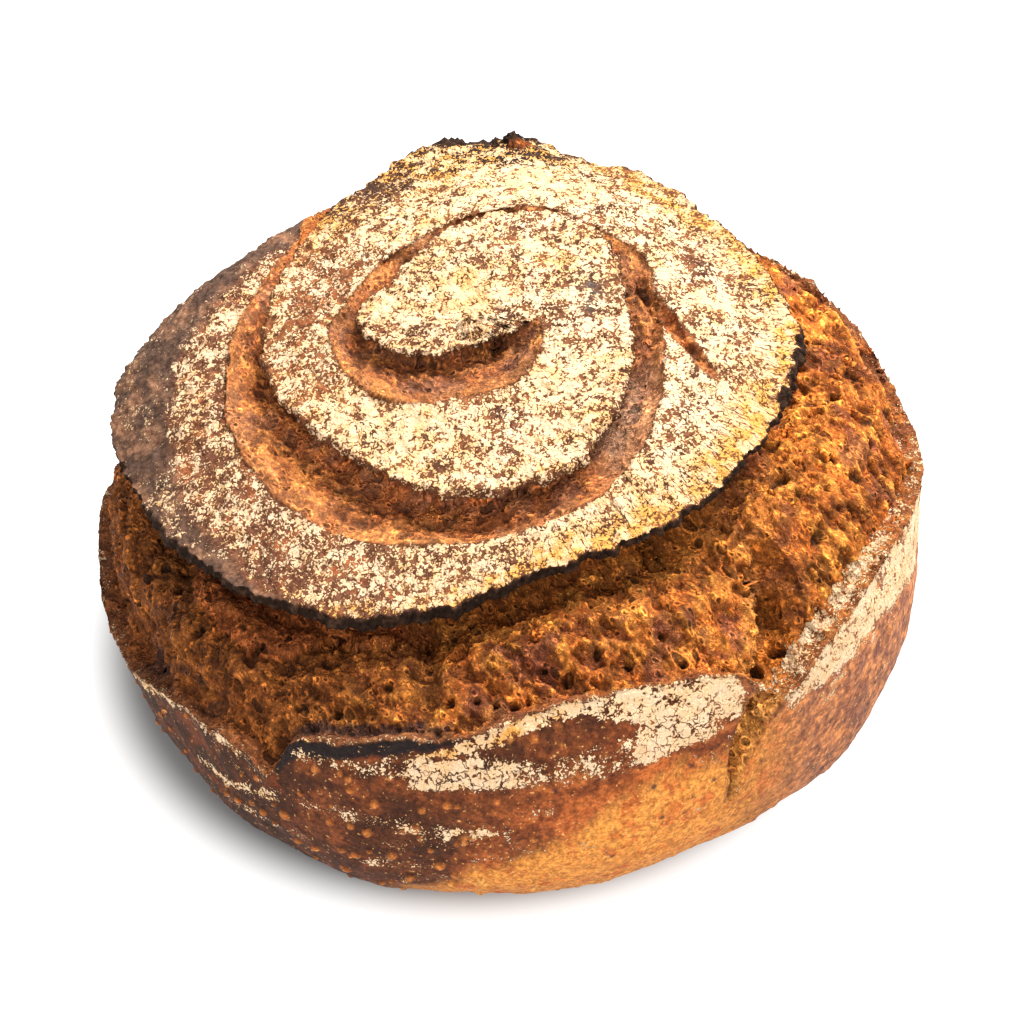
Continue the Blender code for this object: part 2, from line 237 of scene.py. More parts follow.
# ---------------------------------------------------------------- the profiles
def direction(turn):
    angle = -np.radians(turn)
    return np.cos(angle), np.sin(angle)


def form_profiles(turns):
    """The uncut form: reach, height and run of points from crown to base, by turn and sample."""
    turn = turns[:, None]
    east, north = direction(turn)
    tilt = np.linspace(math.pi / 2, -math.pi / 2, FORM_SAMPLES)[None, :]
    out, up = np.cos(tilt), np.sin(tilt)
    x, y = SPIRAL_CENTRE
    height = DOME_HEIGHT + DOME_SLOPE[0] * x + DOME_SLOPE[1] * y
    height -= DOME_SAG[0] * x * x + DOME_SAG[1] * y * y + BELLY_HEIGHT
    slope = DOME_SLOPE[0] * east + DOME_SLOPE[1] * north
    slope = slope - 2 * (DOME_SAG[0] * x * east + DOME_SAG[1] * y * north)
    sag = DOME_SAG[0] * east * east + DOME_SAG[1] * north * north
    b = up - slope * out
    c = np.maximum(sag * out * out, 1e-9)
    dome = (np.sqrt(b * b + 4 * c * height) - b) / (2 * c)
    radius = BELLY_RADIUS
    for count, share, phase in WALL_WAVES:
        radius = radius + BELLY_RADIUS * share * np.cos(np.radians(count * (turn - phase)))
    radius = radius + along_knots(WALL_BULGE, turn % 360)
    along = x * east + y * north
    belly = -along + np.sqrt(along * along - x * x - y * y + radius * radius)
    lean, lean_turn = BELLY_TO_TOP_LEAN
    lean = lean * (1 - np.exp(-(out / LEAN_CALM) ** 2))
    to_top = BELLY_TO_TOP + lean * np.cos(np.radians(turn - lean_turn))
    to_base = BELLY_TO_BASE - along_knots(BASE_TUCK, turn % 360)
    half_height = np.where(up > 0, to_top, to_base)
    power = np.where(up > 0, TOP_ROUNDNESS, BASE_ROUNDNESS)
    wall = ((out / belly) ** power + (abs(up) / half_height) ** power) ** (-1 / power)
    blended = (dome ** -SHOULDER_SHARPNESS + wall ** -SHOULDER_SHARPNESS) ** (-1 / SHOULDER_SHARPNESS)
    run = runs_along(blended * out, blended * up)
    start, start_length, stop, stop_length = SHOULDER_SAG_RUN
    sagging = 1 / (1 + np.exp((start - run) / start_length * 5))
    sagging = sagging / (1 + np.exp((run - stop) / stop_length * 5))
    blended = blended - sagging * along_knots(SHOULDER_SAG, turn % 360)
    distance = np.minimum(blended, BELLY_HEIGHT / np.maximum(-up, 1e-6))
    reach = distance * out
    height = BELLY_HEIGHT + distance * up
    return reach, height, runs_along(reach, height)


def runs_along(reach, height):
    length = np.hypot(np.diff(reach, axis=1), np.diff(height, axis=1))
    return np.concatenate([np.zeros((len(length), 1)), np.cumsum(length, axis=1)], axis=1)


def lip_raggedness(turn):
    """How far the cut's inner side strays from its smooth line."""
    angle = np.radians(turn)
    place = np.stack([60 * np.cos(angle), 60 * np.sin(angle), turn / 6], axis=-1)
    size, depth = LIP_RAGGEDNESS[0]
    stray = depth * smooth_noise(place, size)
    run = along_knots(LIP_RUN, turn)
    fine = np.stack([run * np.cos(angle), run * np.sin(angle), turn / 6], axis=-1)
    for size, depth in LIP_RAGGEDNESS[1:]:
        stray = stray + depth * smooth_noise(fine, size, 11)
    return stray


def cut_rows(turn):
    """The cut at each turn, from lip to outer edge: rows of each kind of value."""
    stray = lip_raggedness(turn)
    lip = along_knots(LIP_RUN, turn)
    fine = np.stack([turn, turn * 0, turn * 0], axis=-1)
    edge = np.maximum(along_knots(EDGE_RUN, turn), lip + 0.2)
    ragged_edge = 1.0 * smooth_noise(fine, 3.1, 5) + 0.6 * smooth_noise(fine, 1.3, 6)
    ragged_edge = ragged_edge * step(0, 12, edge - lip)
    width = edge - lip
    stray = np.minimum(stray, 0.6 * width)
    lip = lip + stray
    depth = np.minimum(along_knots(POCKET_DEPTH, turn), 0.75 * width)
    under = np.minimum(along_knots(UNDERCUT, turn), 0.5 * width)
    thick = np.minimum(LIP_THICKNESS, 0.4 * depth) * (1 + along_knots(LIP_EXTRA, turn))
    rise = along_knots(LIP_RISE, turn) + along_knots(LIP_BUMPS, turn) * rough_noise(fine, 5.5, 4, 8, 0.65)
    inset = along_knots(CRUMB_INSET, turn)
    end_rise = along_knots(EDGE_RISE, turn)
    fullness = along_knots(RAMP_FULLNESS, turn)
    zero = turn * 0
    rows = [
        (lip, rise, 0, 0.4, 0),
        (lip + 0.4 * thick, rise - 0.5 * thick, 0, 1, 0.02),
        (lip - 0.2 * under, rise - thick, 0.5, 0.7, 0.04),
        (lip - 0.9 * under, rise - thick - 0.25 * (depth - thick), 1, 0.2, 0.05),
        (lip - under, rise - thick - 0.6 * (depth - thick), 1, 0, 0.06),
        (lip - 0.3 * under, -depth, 1, 0, 0.08),
    ]
    for share in np.linspace(0.1, 0.97, 14):
        fall = -inset - (depth - inset) * (1 - (share - 0.1) / 0.9) ** fullness
        run = lip + share * width - stray * (1 - (1 - share) ** 3)
        rows.append((run, fall + end_rise * max(share - 0.8, 0), 1, 0, share))
    rows.append((np.maximum(edge + ragged_edge, rows[-1][0] + 0.1), end_rise, 0.3, 0, 1))
    run, up, crumb, face, across = (np.stack([row[k] + zero for row in rows], axis=1) for k in range(5))
    return {
        "run": run, "rise": up, "crumb": crumb, "face": face, "across": across,
        "turn": turn[:, None] + run * 0,
    }


def band_rows(turn, start, start_rise, stop, stop_rise, count):
    """Crust between two cuts."""
    share = np.linspace(0, 1, count)[None, 1:-1]
    run = start[:, None] + (stop - start)[:, None] * share
    rise = stop_rise[:, None] * np.exp((run - stop[:, None]) / RISE_LENGTH)
    rise = rise + start_rise[:, None] * np.exp((start[:, None] - run) / RISE_LENGTH)
    rise = rise * (1 - np.exp(-(run / CROWN_CALM) ** 2))
    zero = run * 0
    return {
        "run": run, "rise": rise, "crumb": zero, "face": zero, "across": share + zero,
        "turn": turn[:, None] + zero,
    }


def groove(line, widths, depths, turn, runs, reach):
    off = np.radians((turn[:, None] - along_knots(line, runs) + 180) % 360 - 180) * reach
    half = along_knots(widths, runs) / 2
    inside = (runs > line[0][0]) & (runs < line[-1][0])
    return along_knots(depths, runs) * np.clip(1.5 - abs(off) / half, 0, 1) * inside


def interp_rows(at, known_at, known):
    return np.stack([np.interp(a, k, v) for a, k, v in zip(at, known_at, known)])


def loaf_profiles(turns):
    """Values by turn and row over the whole loaf, from crown to base."""
    turn = turns % 360
    reach, height, run = form_profiles(turns)
    zero = turn * 0
    parts = []
    start, start_rise = zero, zero
    for lap in (0, 360, 720):
        cut = cut_rows(turn + lap)
        live = ((turn + lap > CUT_START) & (turn + lap < CUT_END))[:, None]
        for name in ("crumb", "face"):
            cut[name] = cut[name] * live
        cut["run"] = np.where(live, cut["run"], start[:, None])
        cut["rise"] = np.where(live, cut["rise"], start_rise[:, None])
        band = band_rows(turn + lap, start, start_rise, cut["run"][:, 0], cut["rise"][:, 0], BAND_ROWS)
        band["rise"] = np.where(live, band["rise"], start_rise[:, None])
        parts.append(band)
        parts.append(cut)
        start, start_rise = cut["run"][:, -1], cut["rise"][:, -1]
    parts.append(band_rows(turn + AFTER_CUT, start, start_rise, run[:, -1], zero, LAST_BAND_ROWS))
    rows = {name: np.concatenate([part[name] for part in parts], axis=1) for name in parts[0]}
    for name in rows:
        first = rows[name][:, :1] if name == "turn" else np.zeros((len(turn), 1))
        last = rows[name][:, -1:]
        if name == "run":
            last = run[:, -1:]
        if name == "rise":
            last = last * 0
        rows[name] = np.concatenate([first, rows[name], last], axis=1)
    runs = rows["run"]
    level_reach = interp_rows(runs, run, reach)
    tear = groove(TEAR_LINE, TEAR_WIDTH, TEAR_DEPTH, turn, runs, level_reach)
    fork = groove(FORK_LINE, FORK_WIDTH, FORK_DEPTH, turn, runs, level_reach)
    rows["rise"] = rows["rise"] - tear - fork
    rows["tear"], rows["fork"] = tear, fork
    slope_out = np.stack([np.gradient(a, b) for a, b in zip(reach, run)])
    slope_up = np.stack([np.gradient(a, b) for a, b in zip(height, run)])
    out = level_reach - rows["rise"] * interp_rows(runs, run, slope_up)
    up = interp_rows(runs, run, height) + rows["rise"] * interp_rows(runs, run, slope_out)
    length = np.hypot(np.diff(out, axis=1), np.diff(up, axis=1))
    on_base = (up[:, 1:] < 1) & (up[:, :-1] < 1)
    count = np.concatenate(
        [zero[:, None], np.cumsum(np.where(on_base, BASE_ROW_SHARE, 1.0) * length, axis=1)], axis=1
    )
    total_rows = CROWN_ROWS + WALL_ROWS + BASE_ROWS
    even = count[:, -1:] * np.linspace(0, 1, total_rows + 1)[None, :]
    rows["out"], rows["up"] = out, up
    return {name: interp_rows(even, count, value) for name, value in rows.items()}


def facing_of(places):
    around = np.roll(places, -1, axis=0) - np.roll(places, 1, axis=0)
    down = np.gradient(places, axis=1)
    facing = np.cross(around, down)
    facing /= np.maximum(np.linalg.norm(facing, axis=2), 1e-9)[..., None]
    facing[:, :3] = facing[:, 3].mean(axis=0) / np.linalg.norm(facing[:, 3].mean(axis=0))
    facing[:, -1] = (0, 0, -1)
    return facing


# ---------------------------------------------------------------- the surface and its paint
def linear(tone):
    """The linear light of an (R, G, B) sRGB tone; light that is worked out already stays as it is."""
    if not isinstance(tone, tuple):
        return tone
    value = np.array(tone, float) / 255
    return np.where(value > 0.04045, ((value + 0.055) / 1.055) ** 2.4, value / 12.92)


def mixed(first, second, share):
    first, second = linear(first), linear(second)
    return first + (second - first) * share[..., None]


PULL = (0.62, -0.42, -0.66)
PULL_STRETCH = 1.8
CUT_STRETCH = 1.4
CRUMB_HOLES = (
    (92, 120, 1.5), (88, 120, 1.0), (83, 123, 1.2), (81, 122, 0.9), (85.5, 122, 0.8), (78, 114, 1.2),
    (60, 115, 1.3), (66, 119, 1.0), (59, 125, 0.9), (57, 127, 0.8), (75, 118, 2.2, 0.7, -0.8),
    (70, 113, 2.0, 0.7, -0.8), (97, 104, 1.4), (108, 126, 1.6), (114, 128, 1.3), (101, 117, 1.2),
    (96, 107, 1.0, 0.6), (22, 116, 1.2), (24, 103, 2.6, 1.6), (16, 124, 3.0, 0.8), (22, 127, 3.2, 0.7, -0.6),
    (8, 128, 2.4, 0.8), (6, 109, 2.2, 0.6), (25, 109, 1.0), (16, 115, 1.4), (30, 121, 2.0, 1.4),
    (2, 114, 1.6), (350, 112, 1.8, 0.7), (124, 116, 2.2, 0.8, -0.7), (135, 122, 2.6, 0.8, -0.7),
    (146, 118, 2.0), (155, 126, 1.6), (112, 112, 2.0, 1.3),
)
TEAR_HOLES = (
    (45, 123, 2.2), (44, 126, 1.3), (47, 126, 1.6), (43, 119.5, 1.4), (44, 139, 2.0), (48, 141, 2.3),
    (48.5, 136, 1.4), (51, 142, 1.8), (54, 151, 1.4), (56, 160, 1.2), (55.5, 167, 0.9), (46, 131, 1.2),
)
BLISTERS = (
    (75.5, 145, 2.4), (81, 145, 1.5), (92, 149, 1.4), (96, 158, 1.7), (84, 131, 1.0), (81, 132, 1.2),
    (76, 139, 1.0), (102, 161, 1.5), (106, 184, 2.0), (93, 173, 1.7), (107, 160, 1.3), (114, 164, 2.0),
    (110, 176, 1.5), (99, 170, 1.6), (80, 154, 1.4), (104, 146, 1.2), (101, 150, 1.4), (90, 163, 1.1),
    (86, 148, 1.1), (118, 168, 1.5), (88, 182, 1.3), (97, 181, 1.5), (104, 172, 1.2), (72, 153, 1.2),
    (68, 150, 0.9), (109, 142, 1.3), (99, 141, 0.9), (124, 163, 1.3),
)
CHUNKS = (
    (0, 96, 2.2, 1.2), (4, 96, 2.8, 1.4), (9, 94.5, 3.0, 1.4), (14, 93, 2.8, 1.2), (344, 94, 1.4, 1.6),
    (333, 95, 1.2, 2.0), (277, 88, 2.6, 2.4), (268, 88, 2.4, 2.4),
)
SHELF_RUN = (
    (98, 103), (108, 105), (114, 107), (119, 115), (126, 117.5), (133, 116.5), (145, 113), (160, 109)
)
STRIP_DEPTH = ((54, 13), (62, 14), (69, 9), (76, 5), (90, 5.5), (113, 5.5))
LOW_FLOUR_RUN = (
    (78, 151), (82, 156), (86, 159.5), (93, 159.5), (99, 156.5), (105, 155.5), (111, 155.5), (121, 161),
    (130, 162), (141, 165),
)
CRUST_SEEDS = (
    (62, 152, 0.9), (67, 154, 1.1), (59, 161, 0.9), (62, 163, 0.7), (52, 164, 0.9), (66, 166, 1.0),
    (63, 168, 0.7), (72, 176, 0.8), (84, 166, 0.7), (79, 147, 0.8), (46, 154, 0.8), (50, 150, 0.7),
    (96, 165, 0.8), (40, 170, 0.9), (58, 150, 0.6), (30, 176, 0.8), (22, 166, 0.8), (87, 137, 0.7),
    (112, 158, 0.8),
)
SPIKES = (
    (337, 104, 1.3, 0.8), (339.5, 102, 1.0), (324, 97, 1.3, 1.5), (333, 101, 1.0), (4, 150, 1.2),
    (188, 118, 1.4, 2.0),
)
YELLOW_SPOTS = (
    (22, 103, 6, 2.0), (14, 124, 3.5, 1.0), (58, 121, 3.5, 2.0), (64, 103, 3.0, 3.0), (106, 128, 3.0, 2.5),
    (34, 106, 6, 2.0), (96, 112, 5, 1.6), (46, 112, 4, 1.4),
)
OVERHANG_SPOTS = ((37.5, 119, 4, 1.2), (37.5, 126, 3.5), (39.5, 132, 3), (34, 113, 3.5, 1.5))
# Places where the torn crumb is painted darker as shade, among them the cave at the top of the tear.
PAINTED_SHADE_SPOTS = (
    (148, 117, 9, 1.7), (95.3, 115.4, 6.5, 1.3), (103.5, 120.6, 4.5, 1.3), (52, 102, 4.5, 2.4),
    (136, 121, 5, 1.6), (128, 121, 5, 1.4), (85, 124, 4, 1.8), (50.7, 104, 5, 1.3), (42, 127, 4),
    (59, 100, 4.5, 1.5), (84, 106, 4, 1.4), (57, 113.5, 5, 1.4), (34.7, 125, 4.5), (18.8, 132, 5, 1.4),
    (43.5, 122, 4), (66, 119, 4, 2.0), (24, 121, 4, 1.2),
)
# Places where the torn crumb is painted lighter, as if more light fell there.
PAINTED_LIGHT_SPOTS = (
    (121, 104, 4.5, 1.6), (106.6, 104.5, 4.5, 1.6), (114, 103, 4, 1.6), (38.9, 88, 5, 1.6),
    (341, 116, 9, 2.0), (124, 132, 4), (10, 100, 5, 1.6),
)
BLACK_DEPTH = ((88, 0), (93, 2.5), (104, 5), (113, 5.5))
SMOOTH_FROM = (
    (96, 112), (115, 104), (125, 100), (150, 96), (165, 92.5), (180, 90), (200, 83), (215, 78), (262, 70)
)
BROWN_SPOTS = (
    (212, 58, 5), (222, 55, 4), (186, 49, 5), (328, 80, 5, 1.5), (341, 70, 5, 1.5), (345, 83, 4, 1.6),
    (352, 87, 3, 1.5), (12, 84, 4), (199, 51, 5), (99.5, 28, 6, 2.2), (168, 74, 6, 1.8), (160, 85, 5, 1.8),
    (246, 70, 7, 1.6), (24, 18, 4),
)
RIGHT_FROM = ((-30, -1), (0, -1), (20, -2), (30, -4.5), (42, -4.5), (48, -2))
RIGHT_TO = ((-30, 12), (-4, 20), (12, 20), (22, 17), (30, 14), (40, 11), (48, 4))
GOLDEN_WIDTH = (
    (0, 8), (560, 8), (600, 22), (640, 20), (690, 12), (735, 13), (775, 11), (805, 7), (840, 5), (1020, 5)
)
GOLDEN_SHARE = (
    (0, 0.1), (560, 0.1), (600, 0.8), (640, 0.9), (690, 0.7), (735, 0.9), (775, 0.9), (840, 0.7), (880, 0.2),
    (1020, 0),
)


class Surface:
    """The loaf's skin: values by turn and row, from which its relief and its paint are worked out.

    lower, cap and crumb say which skin a place has, and burst and cuts which kind of crumb. beyond is
    the distance past the cut's outer edge, to_lip the distance to its lip, across the way over it,
    and along how far along the spiral a place is.
    """

    def __init__(self, turns):
        rows = loaf_profiles(turns)
        self.turns = turns
        self.run, self.up, self.out, self.turn = (rows[name] for name in ("run", "up", "out", "turn"))
        self.face, self.across = rows["face"], rows["across"]
        self.reach = np.maximum(self.out, 1)
        self.flat = turns[:, None] % 360 + 0 * self.out
        east, north = direction(turns[:, None])
        x, y = SPIRAL_CENTRE
        self.places = np.stack([x + self.out * east, y + self.out * north, self.up], axis=2)
        self.to_lip = along_knots(LIP_RUN, self.turn) - self.run
        last_edge = self.flat + np.where(self.flat < CUT_END - 720, 720, 360)
        self.beyond = self.run - along_knots(EDGE_RUN, last_edge)
        self.tear_side = self.off_turn(along_knots(TEAR_LINE, self.run)) / along_knots(TEAR_WIDTH, self.run)
        self.tear = np.clip(rows["tear"] / 5, 0, 1)
        self.torn_open = np.clip(rows["tear"] / 2, 0, 1)
        self.fork = np.clip(rows["fork"] / 1.5, 0, 1)
        past_cut = self.turn > AFTER_CUT - 1
        over = self.region((318, 356), (100, 170), 3, 3) * step(6.5, 4.0, self.beyond) * past_cut
        late = step(575, 610, self.turn)
        self.burst = np.maximum.reduce([rows["crumb"] * late, self.torn_open, over])
        self.cuts = np.maximum(rows["crumb"] * (1 - late), self.fork)
        self.crumb = np.maximum.reduce([rows["crumb"], self.fork, self.torn_open, over])
        self.lower = (1 - self.crumb) * past_cut
        self.cap = (1 - self.crumb) * (1 - self.lower)
        fine_turns = np.linspace(0, 1440, 1441)
        length = np.cumsum(np.maximum(along_knots(LIP_RUN, fine_turns), 12)) * math.pi / 180
        self.along = np.interp(self.turn, fine_turns, length)

    def off_turn(self, turn):
        """Distance round the loaf from a turn."""
        return ((self.flat - turn + 180) % 360 - 180) * math.pi / 180 * self.reach

    def spot(self, turn, run, radius, stretch=1.0, lean=0.0):
        """1 at a place, falling off with distance; stretched along the loaf or leaning."""
        along = self.off_turn(turn)
        down = self.run - run + lean * along
        return np.exp(-((along / stretch) ** 2 + down ** 2) / radius ** 2)

    def spots(self, places):
        return np.maximum.reduce([self.spot(*place) for place in places])

    def region(self, turns, runs, soft_turn=4.0, soft_run=2.0):
        """1 between two turns and two runs, with soft ends."""
        first, last = turns
        off = (self.flat - first) % 360
        width = (last - first) % 360
        off = np.where(off > 180 + width / 2, off - 360, off)
        inside = step(-soft_turn, soft_turn, off) * step(-soft_turn, soft_turn, width - off)
        inside = inside * step(-soft_run, soft_run, self.run - runs[0])
        return inside * step(-soft_run, soft_run, runs[1] - self.run)

    def raise_by(self, height):
        """Moves the skin out, but nowhere below the floor."""
        self.places = self.places + facing_of(self.places) * height[..., None]
        self.places[..., 2] = np.maximum(self.places[..., 2], 0)


def solid_relief(s):
    """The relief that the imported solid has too."""
    rough = sum(depth * smooth_noise(s.places, size) for size, depth in CRUMB_ROUGHNESS)
    plain = sum(depth * smooth_noise(s.places, size) for size, depth in CRUST_ROUGHNESS)
    relief = (s.crumb * rough + (1 - s.crumb) * plain) * np.clip(s.up / 12, 0, 1)
    relief[:, 0] = relief[:, 0].mean()
    return relief


def crumb_places(s, inside):
    """Places that the crumb's cells follow: drawn out along the tear, and bent a little."""
    pull = np.array(PULL) / np.linalg.norm(PULL)
    places = s.places[inside]
    torn = places - (1 - 1 / PULL_STRETCH) * (places @ pull)[..., None] * pull
    along = s.along[inside]
    drawn = np.stack([along / CUT_STRETCH, s.run[inside], 0 * along], axis=1)
    flow = np.where((s.burst > s.cuts)[inside][..., None], torn, drawn)
    shift = np.stack([smooth_noise(flow, 3.2, seed) for seed in (21, 22, 25)], axis=-1)
    fine_shift = np.stack([smooth_noise(flow, 1.2, seed) for seed in (23, 24, 26)], axis=-1)
    return flow + 0.8 * shift + 0.15 * fine_shift


def torn_crumb(flow, burst):
    """Height, hollows, strands and crags of torn crumb: open cells of three sizes between thin walls."""
    skin = step(0.05, 0.5, rough_noise(flow, 9.0, 2, 42))
    crags = rough_noise(flow, 5.5, 3, 51, 0.5)
    strands = (1 - abs(smooth_noise(flow, 2.3, 52))) ** 5
    height = (0.4 + 0.4 * burst) * crags + 0.45 * (strands - 0.3)
    hollows = 0
    sizes = ((5.6, 0.62, 0.5, 1.5, 3), (3.0, 0.5, 0.55, 0.9, 4), (1.6, 0.4, 0.35, 0.4, 5))
    for size, rare, shallow, deep, seed in sizes:
        _, wall, number = cells(flow, size, seed)
        open_cell = step(0.03, 0.2, wall) * step(rare, rare + 0.1, number) * (1 - 0.5 * skin)
        height = height - (shallow + (deep - shallow) * burst) * open_cell
        hollows = np.maximum(hollows, (0.5 + 0.5 * deep) * open_cell)
    return height, hollows, strands, crags, skin


def crumb_relief(s):
    """Relief of the crumb: its cells, and mounds, a crease, holes, spikes and the shelf under the rim."""
    inside = s.crumb > 0.001
    flow = crumb_places(s, inside)
    layers = np.zeros((5, *s.run.shape))
    layers[:, inside] = torn_crumb(flow, s.burst[inside])
    crumb_height, s.hollows, s.strands, s.crags, s.skin = layers
    outermost = ((1 - s.crumb) * step(560, 640, s.turn))[..., None] > 0.5
    s.flow = np.where(outermost, np.stack([s.along, s.run, 0 * s.run], axis=2), s.places)
    s.flow[inside] = flow
    wander = smooth_noise(np.stack([s.flat * 0, s.run, s.run * 0], axis=2), 9.0, 31)
    s.crease = np.exp(-((s.off_turn(95.5) + 2.5 * wander) / 3.2) ** 2) * s.region((80, 110), (97, 121), 2, 3)
    mounds = 2.5 * s.spot(54, 112, 6.0, 2.2) + 2.5 * s.spot(80, 112, 9.0, 2.0)
    mounds = mounds + 2.0 * s.spot(20, 108, 8.0, 2.0) + 1.5 * s.spot(130, 128, 7.0, 3.0)
    ragged = along_knots(SHELF_RUN, s.flat) + 2.2 * smooth_noise(s.places, 6.0, 32)
    ragged = ragged + 1.8 * smooth_noise(s.places, 2.2, 33)
    s.shelf = step(-0.5, 0.5, ragged - s.run) * (s.across > 0.065) * s.burst
    s.shelf = s.shelf * s.region((100, 160), (90, 140), 4, 4)
    s.holes = np.maximum(
        s.spots(CRUMB_HOLES) * s.burst, s.spots(TEAR_HOLES) * np.maximum(s.tear, 0.5 * s.burst)
    )
    s.holes = step(0.3, 0.62, s.holes + 0.12 * s.crags)
    spikes = s.spots(SPIKES)
    crumb_height = crumb_height + s.burst * (
        mounds - 3.2 * s.crease + 2.6 * s.shelf + 4.5 * step(0.1, 0.9, spikes)
    ) - 2.4 * s.holes
    return s.crumb * crumb_height * np.clip(s.up / 6, 0, 1)


def crust_relief(s):
    """Relief of the crust: flour clods on the cap, blisters and seeds lower down, charred bits on the rim."""
    s.clods = rough_noise(s.places, 2.2, 2, 61)
    lumps = rough_noise(s.places, 6.0, 2, 62)
    near, _, number = cells(s.places, 5.5, 9, 0.8)
    size = 0.10 + 0.16 * number
    s.blisters = np.sqrt(np.clip(1 - (near / size) ** 2, 0, 1)) * (number > 0.35)
    for place in BLISTERS:
        s.blisters = np.maximum(s.blisters, np.sqrt(step(0.3, 0.9, s.spot(*place))))
    smooth_east = s.region((325, 80), (120, 240), 8, 6)
    s.blisters = s.blisters * s.lower * np.clip((s.up - 3) / 8, 0, 1) * (1 - 0.75 * smooth_east)
    seeds_near, _, seeds_number = cells(s.places, 8.0, 15, 0.9)
    s.seeds = step(0.10, 0.07, seeds_near) * (seeds_number > 0.7) * (1 - s.cap)
    s.seeds = np.maximum(s.seeds, step(0.3, 0.6, s.spots(CRUST_SEEDS)) * s.lower)
    low = np.clip(s.up / 6, 0, 1)
    height = (s.cap * (0.6 * s.clods + 0.5 * lumps) + s.lower * (0.10 * s.clods + 0.35 * lumps)) * low
    height = height + 0.9 * s.blisters + 0.35 * s.seeds
    s.chunk = s.spots(CHUNKS) * np.maximum(s.cap * step(3.6, 1.6, s.to_lip), step(0.3, 0.0, s.across))
    return height + 1.2 * s.chunk * step(-0.2, 0.5, s.clods)


def crumb_tint(s):
    """Colour of the crumb, from its pits and strands to charred places, with painted light and shade."""
    pits = np.clip(s.hollows + 0.2 * s.small, 0, 1)
    west_side = s.region((100, 262), (85, 170), 14, 4)
    light = mixed((232, 150, 62), (216, 136, 68), s.cuts)
    mid = mixed((186, 100, 38), (166, 94, 48), s.cuts)
    dark = mixed((86, 40, 13), (80, 42, 20), s.cuts)
    light = mixed(light, (174, 102, 42), west_side)
    mid = mixed(mid, (128, 70, 27), west_side)
    dark = mixed(dark, (66, 34, 14), west_side)
    tint = mixed(mid, light, step(-0.4, 1.0, s.crags + 0.5 * s.middling + 0.7 * (s.strands - 0.3)))
    mauve = step(0.05, 0.5, 0.8 * s.broad + 0.5 * s.skin + 0.8 * s.middling - 0.2) * 0.75
    mauve = mauve * (1 - 0.7 * s.region((98, 136), (105, 150), 8, 5))
    mauve_tint = mixed(mixed((120, 66, 48), (126, 80, 56), s.cuts), (88, 50, 34), west_side)
    tint = mixed(tint, mauve_tint, mauve)
    # Painted shade: the crumb darker in its open cells, and where the small noise adds to them.
    tint = mixed(tint, dark, 0.8 * pits)
    tint = tint * (1 + s.cuts * (0.3 * step(400, 440, s.turn) - 0.22 * step(110, 60, s.turn)))[..., None]
    strip_tan = s.cuts * step(0.6, 0.85, s.across) * step(0.0, 0.3, s.cuts - s.fork)
    tint = mixed(tint, (196, 128, 72), 0.35 * strip_tan)
    # Painted shade: darker yellow-brown in the recess just under the rim, and in the crease.
    recess = s.burst * step(0.34, 0.1, s.across) * s.region((30, 170), (80, 130), 10, 4)
    recess = np.maximum(recess, 0.9 * s.crease)
    tint = mixed(
        tint, mixed((146, 86, 30), (116, 66, 26), step(40, 70, s.flat)), 0.65 * recess * (1 - 0.8 * s.shelf)
    )
    yellow = s.spots(YELLOW_SPOTS)
    tint = mixed(tint, (214, 136, 60), s.burst * np.clip(yellow, 0, 1) * (1 - 0.8 * pits) * 0.6)
    deep_tear = s.torn_open * step(150, 143, s.run)
    tint = mixed(tint, mixed((88, 54, 26), (150, 92, 40), step(-0.5, 0.5, s.middling)), s.torn_open * 0.85)
    tint = mixed(tint, (184, 104, 36), deep_tear * step(0.1, -0.3, s.tear_side + 0.2 * s.small) * 0.8)
    yellow_edge = step(0.38, 0.6, s.tear_side + 0.1 * s.small) * step(
        1.5, 1.1, s.tear_side + 0.15 * s.small
    ) * s.burst
    yellow_edge = yellow_edge * s.region((40, 64), (116, 150), 3, 4)
    yellow_low = np.clip(1.8 * s.torn_open, 0, 1) * step(143, 149, s.run) * step(
        0.05, 0.17, abs(s.tear_side) + 0.1 * s.small
    )
    tint = mixed(tint, (228, 146, 66), yellow_edge * (1 - 0.6 * pits) * 0.9)
    tint = mixed(tint, (250, 172, 82), yellow_low * (1 - 0.6 * pits) * 0.9)
    maroon = s.burst * s.region((50, 104), (98, 128), 8, 6) * step(-0.1, 0.5, s.middling)
    tint = mixed(tint, (112, 58, 42), 0.3 * maroon)
    overhang = np.clip(s.spots(OVERHANG_SPOTS), 0, 1)
    tint = mixed(tint, (92, 46, 28), overhang * 0.75 * s.burst)
    # Painted shade and painted light on the listed places; a little brighter to the north-east, darker below.
    painted_shade = s.spots(PAINTED_SHADE_SPOTS)
    painted_light = s.spots(PAINTED_LIGHT_SPOTS)
    north_east = 0.13 * s.region((335, 20), (85, 122), 8, 6) - 0.12 * s.region((15, 42), (120, 140), 6, 5)
    tint = tint * (1 + s.burst * (north_east - 0.42 * painted_shade + 0.45 * painted_light))[..., None]
    tint = mixed(tint, (196, 160, 128), 0.25 * s.cuts * s.region((15, 50), (50, 80), 8, 5))
    tint = mixed(tint, (140, 74, 36), s.shelf * 0.7)
    # Painted shade: the holes in the crumb nearly black inside.
    tint = mixed(tint, (46, 22, 8), s.holes * 0.85)
    # Painted shade: the torn crumb darker just under the lip.
    under_lip = step(0.3, 0.0, abs(s.across - 0.055) * 12)
    tint = mixed(tint, (84, 46, 24), under_lip * 0.5 * s.burst)
    edge_zone = s.burst * step(-3.0, -1.0, s.beyond + 1.5 * s.small)
    black_edge = s.burst * step(-5.0, -3.0, s.beyond + 1.5 * s.small) * s.region((91, 114), (100, 150), 2, 3)
    charred = step(-0.25, 0.2, s.middling + 0.6 * s.small) * step(-9.0, -5.0, s.beyond + 2.0 * s.small)
    black_edge = np.maximum(black_edge, 0.8 * s.burst * charred * s.region((126, 148), (100, 175), 3, 3))
    tint = mixed(tint, (124, 72, 44), 0.3 * edge_zone)
    tint = mixed(tint, (48, 34, 32), 0.85 * black_edge)
    return tint


